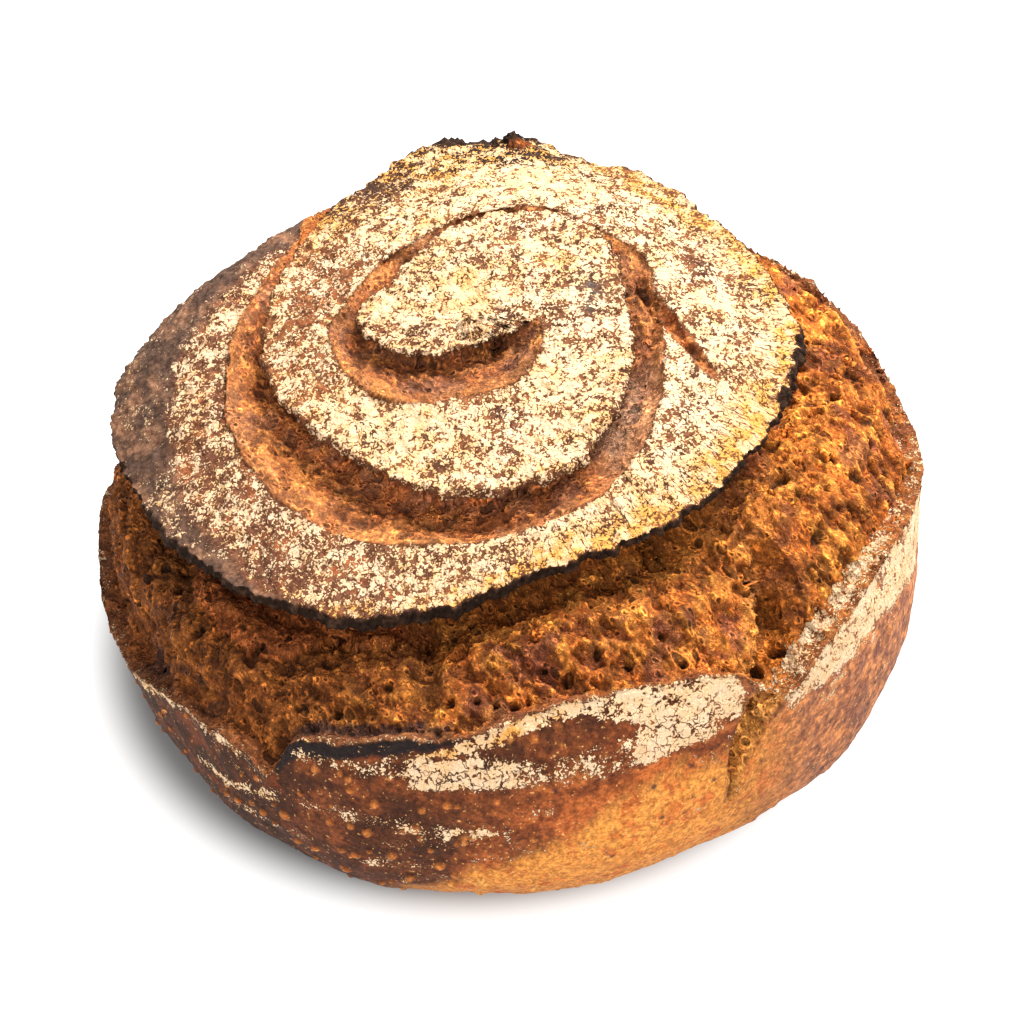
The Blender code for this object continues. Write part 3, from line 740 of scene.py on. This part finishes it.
def crust_tint(s):
    """Colour of the lower crust: brown and purple on the left, red to golden in front, ruddy on the right."""
    dark_line = s.lower * step(1.8, 0.6, s.beyond + 0.8 * s.small) * step(-1.5, -0.5, s.beyond)
    golden_from = 151 + 1.3 * np.clip(s.flat - 70, 0, 40) + 5 * s.broad + 3 * s.middling
    gold = step(-5, 8, s.run - golden_from) * s.region((50, 100), (120, 240), 9, 9)
    east_side = s.region((318, 52), (120, 240), 9, 6)
    tint = mixed((74, 38, 20), (126, 66, 32), step(-0.5, 0.8, s.middling + 0.7 * s.small))
    tint = mixed(
        tint, mixed((134, 82, 60), (204, 130, 78), step(-0.45, 0.6, s.small + 0.5 * s.middling)), east_side
    )
    ruddy_crust = step(-26, -4, s.run - golden_from) * s.region((55, 98), (128, 240), 9, 6)
    tint = mixed(
        tint, mixed((124, 62, 30), (184, 98, 46), step(-0.5, 0.7, s.middling + 0.8 * s.small)),
        0.8 * ruddy_crust,
    )
    tint = mixed(tint, mixed((214, 138, 62), (196, 108, 48), step(0.0, 0.9, s.middling + s.small)), gold)
    purple = s.region((84, 300), (118, 230), 12, 4) * step(0.0, 0.7, 0.8 * s.broad + 0.6 * s.small + 0.3)
    tint = mixed(tint, (60, 33, 20), 0.7 * purple * (1 - gold))
    west_crust = s.region((113, 300), (118, 230), 6, 4)
    tint = mixed(
        tint, mixed((60, 33, 17), (98, 46, 17), step(-0.2, 0.8, s.small + s.middling)), 0.85 * west_crust
    )
    tint = mixed(tint, mixed((196, 116, 54), (232, 168, 88), gold), np.clip(s.blisters, 0, 1) * 0.85)
    # Painted shade: the lower crust darker towards the floor.
    tint = tint * (0.72 + 0.28 * step(8, 62, s.up))[..., None]
    tint = mixed(tint, (60, 36, 27), 0.8 * dark_line)
    s.black_depth = along_knots(BLACK_DEPTH, s.flat) * (s.flat < 114.5)
    tint = mixed(
        tint, (34, 25, 24),
        s.lower * step(0.7, -0.7, s.beyond + 0.8 * s.small - s.black_depth) * (s.black_depth > 0),
    )
    return tint


def cap_tint(s):
    """Colour of the cap's crust under the flour, with the smooth dark rim of its left lobe."""
    tint = mixed((84, 54, 40), (134, 82, 52), np.clip(0.5 + 0.8 * s.middling, 0, 1))
    s.lobe = s.rim_band * (s.turn > 790) * s.region((96, 262), (74, 130), 14, 3)
    smooth_from = along_knots(SMOOTH_FROM, s.flat)
    s.outer = s.lobe * step(-2.5, 2.5, s.run - smooth_from + 2.5 * s.broad + 2.0 * s.middling)
    tint = mixed(
        tint, mixed((104, 66, 48), (156, 88, 54), step(0.0, 0.8, s.middling + 0.5 * s.small)), s.lobe * 0.85
    )
    tint = mixed(
        tint, mixed((86, 64, 52), (136, 98, 74), step(-0.4, 0.7, s.middling + 0.4 * s.small)), s.outer
    )
    ruddy = s.cap * s.region((140, 222), (36, 62), 16, 5)
    tint = mixed(tint, mixed((136, 82, 50), (98, 60, 42), step(-0.2, 0.6, s.small)), ruddy)
    s.sooty = s.rim_band * (s.turn < 700) * step(24, 14, s.to_lip) * s.region((218, 294), (50, 110), 8, 4)
    tint = mixed(tint, (46, 36, 32), s.sooty)
    s.smudge = s.spots(((347, 36.5, 3.2, 1.6), (358, 34, 2.2, 1.6))) * step(-0.5, 0.3, s.small)
    tint = mixed(tint, (84, 70, 62), np.clip(1.4 * s.smudge, 0, 1))
    return tint


def burnt_lips(s):
    """How far each place is charred, or painted dark as shade on the faces under the inner lips."""
    rim = step(600, 640, s.turn) * step(1010, 960, s.turn)
    burnt = step(0.15, 0.5, s.face) * rim
    # The faces under the inner lips: partly dark crust, partly painted shade under the lip.
    burnt = np.maximum(burnt, 0.8 * s.face * (1 - rim) * np.clip(0.6 + 0.5 * s.middling, 0, 1))
    burnt = np.maximum(burnt, step(0.25, 0.5, s.chunk + 0.15 * s.small))
    ridge = s.region((264, 283), (70, 100), 2, 2) * (s.turn < 700) * step(5.0, 2.5, s.to_lip + 1.2 * s.small)
    burnt = np.maximum(burnt, ridge * np.maximum(s.cap, s.face))
    return np.clip(burnt, 0, 1)


def flour_share(s):
    """How much of the crust the flour covers."""
    patchy = 0.10 * s.broad + 0.10 * s.middling + 0.05 * s.small
    flour = s.cap * (
        0.70 + patchy + 0.16 * s.region((318, 75), (66, 105), 8, 6) * s.rim_band * step(16, 8, s.to_lip)
    )
    flour = flour + 0.16 * s.cap * s.spots(
        ((255, 8, 16), (120, 45, 18), (20, 55, 20), (285, 62, 20), (192, 23, 7))
    )
    flour = flour - 0.11 * s.cap * s.region((145, 218), (36, 62), 16, 6)
    flour = flour - 0.5 * s.cap * np.clip(s.smudge, 0, 1)
    flour = flour - 0.2 * s.cap * s.spots(BROWN_SPOTS)
    flour = flour - s.lobe * (0.1 + 0.08 * s.spot(150, 84, 9, 1.3)) - 0.05 * s.cap * s.spot(100, 48, 12, 1.6)
    flour = flour - s.outer * 0.44 + s.outer * 0.32 * s.spot(152, 99, 4.5, 2.2)
    flour = flour + 0.3 * s.outer * s.spot(157, 101, 5, 1.5) + 0.1 * s.outer * step(0.2, 0.6, s.broad)
    flour = flour - 0.17 * s.sooty - 0.10 * s.region((80, 140), (94, 110), 8, 4) * s.rim_band
    flour = flour + 0.16 * s.rim_band * step(6, 3, s.to_lip + s.small) * s.region((78, 114), (80, 112), 5, 4)
    strip_end = along_knots(STRIP_DEPTH, s.flat)
    s.top_strip = s.region((53.5, 113), (100, 165), 1.2, 1) * step(
        s.black_depth - 0.4, s.black_depth + 1.0, s.beyond
    )
    s.top_strip = s.top_strip * step(0.8, -1.6, s.beyond + 1.6 * s.small - strip_end)
    s.plates = np.maximum(
        s.region((57, 68), (134, 146), 1.6, 1.6), s.region((84, 97), (135.5, 144.5), 1.5, 0.8)
    )
    east_turn = (s.flat + 180) % 360 - 180
    right_from = along_knots(RIGHT_FROM, east_turn)
    right_to = along_knots(RIGHT_TO, east_turn)
    right_flour = s.region((352, 49), (120, 175), 5, 2) * step(
        -0.8, 0.8, s.beyond + 0.8 * s.small - right_from
    )
    right_flour = right_flour * step(2.5, -2.5, s.beyond + 2.0 * s.small - right_to)
    haze = s.region((340, 45), (130, 178), 6, 6) * step(
        -0.1, 0.5, s.small + 0.4 * s.middling
    ) * step(30, 12, s.beyond)
    left_strip = s.region((119, 150), (120, 170), 3, 2) * step(-0.3, 0.6, s.beyond) * step(
        6.5, 2.5, s.beyond + 2.0 * s.small
    )
    speckles = s.region((66, 85), (137, 146), 2, 1.2) + s.region((97, 113), (137, 141), 2, 1.2)
    low_off = (s.run - along_knots(LOW_FLOUR_RUN, s.flat)) / (2.2 + 0.8 * s.small)
    low_band = np.exp(-low_off ** 2) * s.region((84.5, 132), (140, 180), 2, 3)
    low_band = low_band * (1 - 0.9 * s.spot(113.5, 157, 5)) * (
        1 - 0.5 * s.region((98, 112), (150, 162), 2, 2)
    )
    third = s.region((96, 104), (172, 176), 3, 1) + s.region((83, 89), (168, 171), 2, 1) + s.region(
        (111, 128), (170, 174), 3, 1.2
    ) + s.region((79, 83), (150, 155), 1.5, 1)
    bands = 0.86 * s.top_strip + 0.95 * s.plates + 0.9 * right_flour + 0.6 * left_strip + 0.5 * speckles
    bands = bands - 0.2 * s.top_strip * step(92, 100, s.flat)
    bands = np.minimum(bands, 0.96) + 0.7 * low_band + 0.32 * third + 0.4 * haze
    bands = bands - 0.45 * s.spot(77, 133, 4, 1.6) - 0.35 * s.spot(60, 139, 2.2, 2.0)
    bands = bands - 0.25 * s.spot(80, 148, 6, 1.6)
    faint = 0.04 + 0.12 * s.broad
    flour = flour + s.lower * (
        bands * (1 + 0.35 * s.middling + 0.35 * s.small) + np.clip(faint, 0, 0.3) * step(0.0, 8.0, s.beyond)
    )
    flour = flour * (1 - s.burnt) * (1 - s.crumb)
    return np.maximum(flour, (1 - s.cap) * right_flour * (0.8 + 0.2 * s.small) * (s.beyond < 2))


def golden_flour(s):
    """How golden the flour is baked."""
    width = along_knots(GOLDEN_WIDTH, s.turn)
    share = along_knots(GOLDEN_SHARE, s.turn)
    golden = s.cap * (0.22 + share * step(width, 0.4 * width, s.to_lip + 2.5 * s.small))
    golden = golden + 0.2 * s.cap * s.spot(300, 25, 22) + 0.6 * s.rim_band * s.region(
        (222, 275), (56, 110), 8, 6
    )
    return np.clip(golden + 0.35 * s.broad + 0.8 * s.lower * s.top_strip * step(70, 84, s.flat), 0, 1)


def build_surface():
    """The skin's places and facing, and its paint as sets of values for the material."""
    s = Surface(np.concatenate([
        np.linspace(start, stop, count, endpoint=False) for _, start, stop, count in SECTORS
    ]))
    s.raise_by(solid_relief(s))
    s.raise_by((crumb_relief(s) + crust_relief(s)) * step(0, 5, s.out))
    for row in (CROWN_ROWS, CROWN_ROWS + WALL_ROWS):
        s.places[1::2, row] = (s.places[0::2, row] + np.roll(s.places[0::2, row], -1, axis=0)) / 2
    s.places[:, 0] = s.places[:, 0].mean(axis=0)
    s.places[:, -1] = s.places[:, -1].mean(axis=0)

    s.broad = rough_noise(s.places, 22.0, 3, 71)
    s.middling = rough_noise(s.places, 8.0, 2, 72)
    s.small = rough_noise(s.places, 3.0, 2, 73)
    s.rim_band = s.cap * step(560, 640, s.turn)
    tint = mixed(cap_tint(s), crust_tint(s), s.lower)
    tint = mixed(tint, crumb_tint(s), s.crumb)
    s.burnt = burnt_lips(s)
    # The tone of charred crust, also used as painted shade on the faces under the inner lips.
    char_and_shade_tone = mixed((40, 28, 21), (70, 50, 38), step(0.1, 0.8, s.small + s.clods))
    tint = mixed(tint, char_and_shade_tone, s.burnt)
    tint = mixed(tint, (62, 44, 40), 0.85 * np.clip(s.seeds, 0, 1))
    flour = np.clip(flour_share(s), 0, 1)
    golden = golden_flour(s)
    mud = s.lower * s.plates
    cracks = s.rim_band * step(16, 9, s.to_lip) * np.maximum(s.region((330, 75), (60, 110), 10, 3), 0.4)
    gloss = np.clip(s.lower * 0.18 + s.burst * 0.15 + s.cuts * 0.4 + s.outer * 0.1 - s.burnt * 0.3, 0, 1)
    facing = facing_of(s.places)
    s.places[..., :2] -= OUTLINE_MIDDLE
    return {
        "turns": s.turns,
        "places": s.places * MM,
        "facing": facing,
        "tint": np.concatenate([tint, s.burnt[..., None]], axis=2),
        "dust": np.stack([flour, golden, mud, s.lower], axis=2),
        "feel": np.stack([s.crumb, gloss, cracks, s.cuts], axis=2),
        "flow": s.flow * MM,
    }


# ---------------------------------------------------------------- pieces
def grid_faces(columns, rows, closed):
    """Corner numbers of the quads of a grid that is stored column by column."""
    across = columns if closed else columns - 1
    c, r = np.meshgrid(np.arange(across), np.arange(rows - 1), indexing="ij")
    right = (c + 1) % columns
    quads = np.stack([c * rows + r, right * rows + r, right * rows + r + 1, c * rows + r + 1], axis=2)
    return quads.reshape(-1, 4)


def make_piece(name, surface, columns, rows, closed, spread, material):
    places = surface["places"][np.ix_(columns, rows)].reshape(-1, 3)
    facing = surface["facing"][np.ix_(columns, rows)].reshape(-1, 3)
    quads = grid_faces(len(columns), len(rows), closed)
    mesh = bpy.data.meshes.new(name)
    mesh.vertices.add(len(places))
    mesh.vertices.foreach_set("co", places.astype(np.float32).ravel())
    mesh.loops.add(quads.size)
    mesh.loops.foreach_set("vertex_index", quads.astype(np.int32).ravel())
    mesh.polygons.add(len(quads))
    mesh.polygons.foreach_set("loop_start", np.arange(0, quads.size, 4, dtype=np.int32))
    mesh.polygons.foreach_set("loop_total", np.full(len(quads), 4, dtype=np.int32))
    mesh.update()
    for key in ("tint", "dust", "feel"):
        layer = mesh.attributes.new(key, "FLOAT_COLOR", "POINT")
        layer.data.foreach_set("color", surface[key][np.ix_(columns, rows)].astype(np.float32).ravel())
    layer = mesh.attributes.new("flow", "FLOAT_VECTOR", "POINT")
    layer.data.foreach_set("vector", surface["flow"][np.ix_(columns, rows)].astype(np.float32).ravel())
    u, v = np.meshgrid(np.arange(len(columns) + closed), np.arange(len(rows)), indexing="ij")
    u, v = spread(u / (len(columns) + closed - 1), v / (len(rows) - 1))
    across = len(columns) if closed else len(columns) - 1
    c, r = np.meshgrid(np.arange(across), np.arange(len(rows) - 1), indexing="ij")
    corners = [(c, r), (c + 1, r), (c + 1, r + 1), (c, r + 1)]
    uv = np.stack([np.stack([u[a, b], v[a, b]], axis=2) for a, b in corners], axis=2)
    layer = mesh.uv_layers.new(name="OFBake")
    layer.uv.foreach_set("vector", uv.astype(np.float32).ravel())
    mesh.polygons.foreach_set("use_smooth", np.ones(len(quads), dtype=bool))
    mesh.materials.append(material)
    mesh.normals_split_custom_set_from_vertices(facing.astype(np.float32))
    mesh.update()
    piece = bpy.data.objects.new(name, mesh)
    bpy.context.scene.collection.objects.link(piece)
    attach(piece, "root")
    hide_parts("loaf")
    return piece


def disc(u, v):
    angle = u * 2 * math.pi
    return 0.5 + 0.49 * v * np.cos(angle), 0.5 + 0.49 * v * np.sin(angle)


def disc_inward(u, v):
    return disc(u, 1 - v)


def strip(u, v):
    return 0.004 + 0.992 * u, 0.004 + 0.992 * (1 - v)


def make_loaf(material):
    surface = build_surface()
    total = len(surface["turns"])
    rim_row = CROWN_ROWS + WALL_ROWS
    every_other = np.arange(0, total, 2)
    make_piece("crown", surface, every_other, np.arange(0, CROWN_ROWS + 1), True, disc, material)
    make_piece(
        "underside", surface, every_other, np.arange(rim_row, rim_row + BASE_ROWS + 1), True, disc_inward,
        material,
    )
    start = 0
    for name, _, _, count in SECTORS:
        columns = np.arange(start, start + count + 1) % total
        make_piece(
            f"wall_{name}", surface, columns, np.arange(CROWN_ROWS, rim_row + 1), False, strip, material
        )
        start += count


# ---------------------------------------------------------------- the material
class Nodes:
    """Short ways to add and join shader nodes."""

    def __init__(self, material):
        material.use_nodes = True
        self.tree = material.node_tree
        self.shader = self.tree.nodes["Principled BSDF"]

    def put(self, socket, value):
        if isinstance(value, bpy.types.NodeSocket):
            self.tree.links.new(value, socket)
        elif socket.type == "RGBA":
            socket.default_value = (*linear(value), 1.0)
        else:
            socket.default_value = value

    def add(self, kind, inputs=None, **options):
        node = self.tree.nodes.new(kind)
        for name, value in options.items():
            setattr(node, name, value)
        for name, value in (inputs or {}).items():
            self.put(node.inputs[name], value)
        return node

    def attribute(self, name):
        return self.add("ShaderNodeAttribute", attribute_name=name)

    def tinted(self, name):
        """Colour and fourth value of an attribute."""
        node = self.attribute(name)
        return node.outputs["Color"], node.outputs["Alpha"]

    def split(self, name):
        """The first three values of an attribute, and the fourth."""
        all_three, fourth = self.tinted(name)
        node = self.add("ShaderNodeSeparateColor", {"Color": all_three})
        return node.outputs[:3], fourth

    def shifted(self, vector, jitter, distance):
        inputs = {0: jitter, 1: (distance,) * 3, 2: vector}
        return self.add("ShaderNodeVectorMath", inputs, operation="MULTIPLY_ADD").outputs[0]

    def edges(self, vector, size_mm):
        """Distance to the borders between scattered cells, as a share of their size."""
        inputs = {"Vector": vector, "Scale": 1000 / size_mm}
        return self.add("ShaderNodeTexVoronoi", inputs, feature="DISTANCE_TO_EDGE").outputs["Distance"]

    def near(self, vector, size_mm):
        """Distance to the nearest scattered point, as a share of their spacing, and its number."""
        inputs = {"Vector": vector, "Scale": 1000 / size_mm}
        node = self.add("ShaderNodeTexVoronoi", inputs, feature="F1")
        number = self.add("ShaderNodeSeparateColor", {"Color": node.outputs["Color"]}).outputs[0]
        return node.outputs["Distance"], number

    def scaled(self, value, factors):
        return self.add("ShaderNodeVectorMath", {0: value, 1: factors}, operation="MULTIPLY").outputs[0]

    def math(self, operation, *values):
        return self.add("ShaderNodeMath", dict(enumerate(values)), operation=operation).outputs[0]

    def plus(self, a, b):
        return self.math("ADD", a, b)

    def less(self, a, b):
        return self.math("SUBTRACT", a, b)

    def times(self, a, b):
        return self.math("MULTIPLY", a, b)

    def times_plus(self, a, b, c):
        return self.math("MULTIPLY_ADD", a, b, c)

    def highest(self, a, b):
        return self.math("MAXIMUM", a, b)

    def size_of(self, a):
        return self.math("ABSOLUTE", a)

    def ramp(self, value, low, high, to_low=0.0, to_high=1.0):
        inputs = {"Value": value, "From Min": low, "From Max": high, "To Min": to_low, "To Max": to_high}
        node = self.add("ShaderNodeMapRange", inputs, interpolation_type="SMOOTHSTEP")
        return node.outputs[0]

    def mix(self, share, a, b):
        node = self.add("ShaderNodeMix", data_type="RGBA")
        self.put(node.inputs[0], share)
        self.put(node.inputs[6], a)
        self.put(node.inputs[7], b)
        return node.outputs[2]

    def noise(self, vector, size_mm, detail=2.0, roughness=0.5):
        inputs = {"Vector": vector, "Scale": 1000 / size_mm, "Detail": detail, "Roughness": roughness}
        return self.add("ShaderNodeTexNoise", inputs).outputs["Fac"]

    def bump(self, height, distance_mm):
        inputs = {"Height": height, "Distance": distance_mm * MM, "Strength": 1.0}
        return self.add("ShaderNodeBump", inputs).outputs[0]


def flour_cover(n, place, warped, patches, flour):
    """How far the flour is above nothing at each place: rounded clods, with bare gaps between."""
    lumps = n.noise(place, 2.2, 3.0, 0.62)
    grit = n.noise(place, 0.5, 1.0, 0.6)
    clods, _ = n.near(warped, 0.9)
    amount = n.times_plus(lumps, 0.6, n.times(clods, -0.4))
    amount = n.times_plus(patches, 0.42, amount)
    amount = n.times_plus(grit, 0.12, amount)
    limit = n.times_plus(flour, -0.37, n.ramp(flour, 0.03, 0.1, 0.8, 0.565))
    return n.less(amount, limit), clods, grit


def flour_cracks(n, place, flow, jitter, patches, cracks, mud):
    """Cracks across the rim of the cap, and between dried plates of flour lower down."""
    stretched = n.add("ShaderNodeMapping", {"Vector": flow, "Scale": (1.0, 0.2, 1.0)}).outputs[0]
    lines = n.noise(stretched, 1.8, 2.0)
    lines = n.ramp(n.size_of(n.less(lines, 0.5)), 0.0, 0.03, 1.0, 0.0)
    lines = n.times(n.times(lines, n.ramp(patches, 0.36, 0.5)), cracks)
    gaps = n.edges(n.shifted(place, jitter, 0.0022), 4.6)
    gaps = n.ramp(gaps, 0.012, 0.06, 1.0, 0.0)
    gaps = n.times(gaps, n.ramp(patches, 0.42, 0.5))
    return n.highest(lines, n.times(gaps, mud))


def crumb_web(n, flow, jitter, patches):
    """Thin bright walls of the crumb, and the small open cells between them."""
    pulled = n.shifted(flow, jitter, 0.0006)
    rings = 0.0
    hollows = 0.0
    for size, radius, rare in ((5.4, 0.26, 0.66), (1.9, 0.29, 0.45)):
        far, number = n.near(pulled, size)
        past = n.less(far, n.times_plus(number, 0.16, radius - 0.1))
        chosen = n.ramp(number, rare, rare + 0.02)
        rim = 0.34 / size
        ring = n.ramp(n.size_of(n.less(past, 0.4 * rim)), 0.0, rim, 1.0, 0.0)
        rings = n.highest(rings, n.times(ring, n.times(chosen, 0.8)))
        hollow = n.ramp(past, -1.4 * rim, -0.1 * rim, 1.0, 0.0)
        hollows = n.highest(hollows, n.times(hollow, chosen))
    strands = 0.0
    for size, width, share in ((2.4, 0.026, 1.0), (1.1, 0.045, 0.72)):
        line = n.noise(pulled, size, 2.0, 0.6)
        line = n.ramp(n.size_of(n.less(line, 0.5)), 0.0, width, share, 0.0)
        strands = n.highest(strands, line)
    here = n.ramp(patches, 0.38, 0.6, 0.4, 1.25)
    web = n.times(n.highest(rings, strands), here)
    return web, hollows


def loaf_material():
    material = bpy.data.materials.new("spelt_crust")
    n = Nodes(material)
    place = n.add("ShaderNodeTexCoord").outputs["Object"]
    tint, burnt = n.tinted("tint")
    (flour, golden, mud), lower = n.split("dust")
    (crumb, gloss, cracks), cuts = n.split("feel")
    flow = n.attribute("flow").outputs["Vector"]
    jitter = n.add("ShaderNodeTexNoise", {"Vector": place, "Scale": 900.0, "Detail": 0.0}).outputs["Color"]
    patches = n.noise(place, 5.0, 2.0, 0.5)
    warped = n.shifted(place, jitter, 0.0016)
    above, clods, grit = flour_cover(n, place, warped, patches, flour)
    crack = flour_cracks(n, place, flow, jitter, patches, cracks, mud)
    cover = n.times(n.ramp(above, -0.018, 0.024), n.less(1.0, crack))
    web, hollows = crumb_web(n, flow, jitter, patches)
    here = n.times_plus(cuts, -0.2, crumb)
    web = n.times(web, here)
    hollows = n.times(hollows, here)
    fibres = n.noise(flow, 0.8, 3.0, 0.7)

    # colour
    mottle = n.noise(place, 1.4, 3.0, 0.66)
    shade = n.ramp(mottle, 0.3, 0.7, 0.62, 1.38)
    shade = n.times(shade, n.ramp(fibres, 0.3, 0.7, 0.74, 1.26))
    shade = n.times(shade, n.times_plus(web, 1.9, n.times_plus(here, -0.24, 1.0)))
    # Painted shade: darker in the open cells of the crumb.
    shade = n.times(shade, n.times_plus(hollows, -0.68, 1.0))
    base = n.scaled(tint, shade)
    bruise = n.times(n.ramp(n.noise(place, 3.1, 2.0, 0.6), 0.5, 0.6), 0.55)
    base = n.mix(bruise, base, n.scaled(base, (0.64, 0.55, 0.56)))
    flecks, _ = n.near(warped, 1.7)
    flecks = n.times(n.ramp(flecks, 0.16, 0.26, 0.6, 0.0), n.times(lower, n.ramp(mottle, 0.5, 0.56)))
    base = n.mix(flecks, base, (232, 178, 108))
    pale = n.mix(golden, (233, 193, 148), (224, 161, 84))
    pale = n.mix(n.ramp(patches, 0.4, 0.62, 0.0, 0.5), pale, (240, 212, 180))
    thin = n.mix(0.6, pale, (132, 86, 48))
    pale = n.mix(n.ramp(above, 0.0, 0.06), thin, pale)
    pale = n.scaled(pale, n.ramp(n.times_plus(clods, -0.5, grit), 0.0, 0.5, 0.8, 1.04))
    base = n.mix(cover, base, pale)
    base = n.mix(n.times(crack, 0.75), base, (70, 44, 28))
    n.put(n.shader.inputs["Base Color"], base)

    # roughness and shine
    bare = n.times_plus(gloss, -0.5, 0.8)
    bare = n.times_plus(fibres, 0.2, n.less(bare, 0.1))
    rough = n.plus(bare, n.times(cover, n.less(0.95, bare)))
    n.put(n.shader.inputs["Roughness"], rough)
    shine = n.times_plus(gloss, 0.4, 0.06)
    n.put(n.shader.inputs["Specular IOR Level"], n.times(shine, n.times_plus(cover, -0.8, 1.0)))

    # bump
    heap = n.times_plus(grit, 0.35, n.times_plus(clods, -0.5, 0.8))
    powder = n.times(n.ramp(above, -0.02, 0.06), heap)
    inner = n.times(fibres, n.times_plus(crumb, 0.55, 0.25))
    inner = n.times_plus(n.times(grit, burnt), 1.2, inner)
    height = n.plus(powder, n.times_plus(web, 0.8, inner))
    height = n.times_plus(hollows, -1.1, height)
    n.put(n.shader.inputs["Normal"], n.bump(height, 0.8))
    return material


# ---------------------------------------------------------------- floor, light, camera
def area_light(name, place, size, power, tone):
    lamp = bpy.data.lights.new(name, "AREA")
    lamp.shape = "DISK"
    lamp.size = size
    lamp.energy = power
    lamp.color = tone
    holder = bpy.data.objects.new(name, lamp)
    holder.location = place
    aim = np.array(LIGHTS_AIM) - np.array(place)
    holder.rotation_euler = Vector(aim.tolist()).to_track_quat("-Z", "Y").to_euler()
    bpy.context.scene.collection.objects.link(holder)


FLOOR_HALF = 3.0
# The floor is grey and glows: painted light makes it white, fading to a painted shadow round the loaf.
FLOOR_GREY = 0.3
FLOOR_GLOW = 0.9
FLOOR_SHADE_MIDDLE = (-0.012, 0.009, 0)
FLOOR_SHADE_REACH = (0.099, 0.119)
LIGHTS_AIM = (0, 0, 0.05)
KEY_LIGHT = {"place": (0.5, 0.55, 1.15), "size": 0.8, "power": 42, "tone": (1.0, 0.98, 0.95)}
FILL_LIGHT = {"place": (-0.15, -1.1, 0.75), "size": 1.2, "power": 10, "tone": (1.0, 0.99, 0.97)}
SKY_STRENGTH = 0.7


def make_stage():
    mesh = bpy.data.meshes.new("floor")
    half = FLOOR_HALF
    corners = [(-half, -half, 0), (half, -half, 0), (half, half, 0), (-half, half, 0)]
    mesh.from_pydata(corners, [], [(0, 1, 2, 3)])
    floor = bpy.data.objects.new("floor", mesh)
    bpy.context.scene.collection.objects.link(floor)
    material = bpy.data.materials.new("glowing_floor")
    material.use_nodes = True
    shader = material.node_tree.nodes["Principled BSDF"]
    shader.inputs["Base Color"].default_value = (*(FLOOR_GREY,) * 3, 1)
    shader.inputs["Roughness"].default_value = 0.9
    shader.inputs["Emission Color"].default_value = (1, 0.99, 0.98, 1)
    n = Nodes(material)
    place = n.add("ShaderNodeTexCoord").outputs["Object"]
    # Painted light and painted shadow: the floor glows more with distance from the loaf, none close by.
    away = n.add(
        "ShaderNodeVectorMath", {0: place, 1: FLOOR_SHADE_MIDDLE}, operation="DISTANCE"
    ).outputs["Value"]
    n.put(shader.inputs["Emission Strength"], n.ramp(away, *FLOOR_SHADE_REACH, 0.0, FLOOR_GLOW))
    mesh.materials.append(material)

    world = bpy.data.worlds.new("studio")
    bpy.context.scene.world = world
    world.use_nodes = True
    background = world.node_tree.nodes["Background"]
    background.inputs["Color"].default_value = (1, 1, 1, 1)
    background.inputs["Strength"].default_value = SKY_STRENGTH
    area_light("key", **KEY_LIGHT)
    area_light("fill", **FILL_LIGHT)


CAMERA_HEIGHT_ANGLE = 42.0
CAMERA_DISTANCE = 0.95
CAMERA_TARGET = (0.002023, 0.002752, 0.056)
CAMERA_LENS = 3230.0 / 1024 * 36


def make_camera():
    angle = math.radians(CAMERA_HEIGHT_ANGLE)
    camera = bpy.data.cameras.new("camera")
    camera.lens = CAMERA_LENS
    camera.sensor_width = 36
    holder = bpy.data.objects.new("camera", camera)
    x, y, z = CAMERA_TARGET
    holder.location = (x, y - CAMERA_DISTANCE * math.cos(angle), z + CAMERA_DISTANCE * math.sin(angle))
    holder.rotation_euler = (math.pi / 2 - angle, 0, 0)
    bpy.context.scene.collection.objects.link(holder)
    bpy.context.scene.camera = holder


def main():
    make_loaf(loaf_material())
    make_stage()
    make_camera()
    bpy.context.scene.view_settings.view_transform = "Standard"
    bpy.context.view_layer.update()


main()
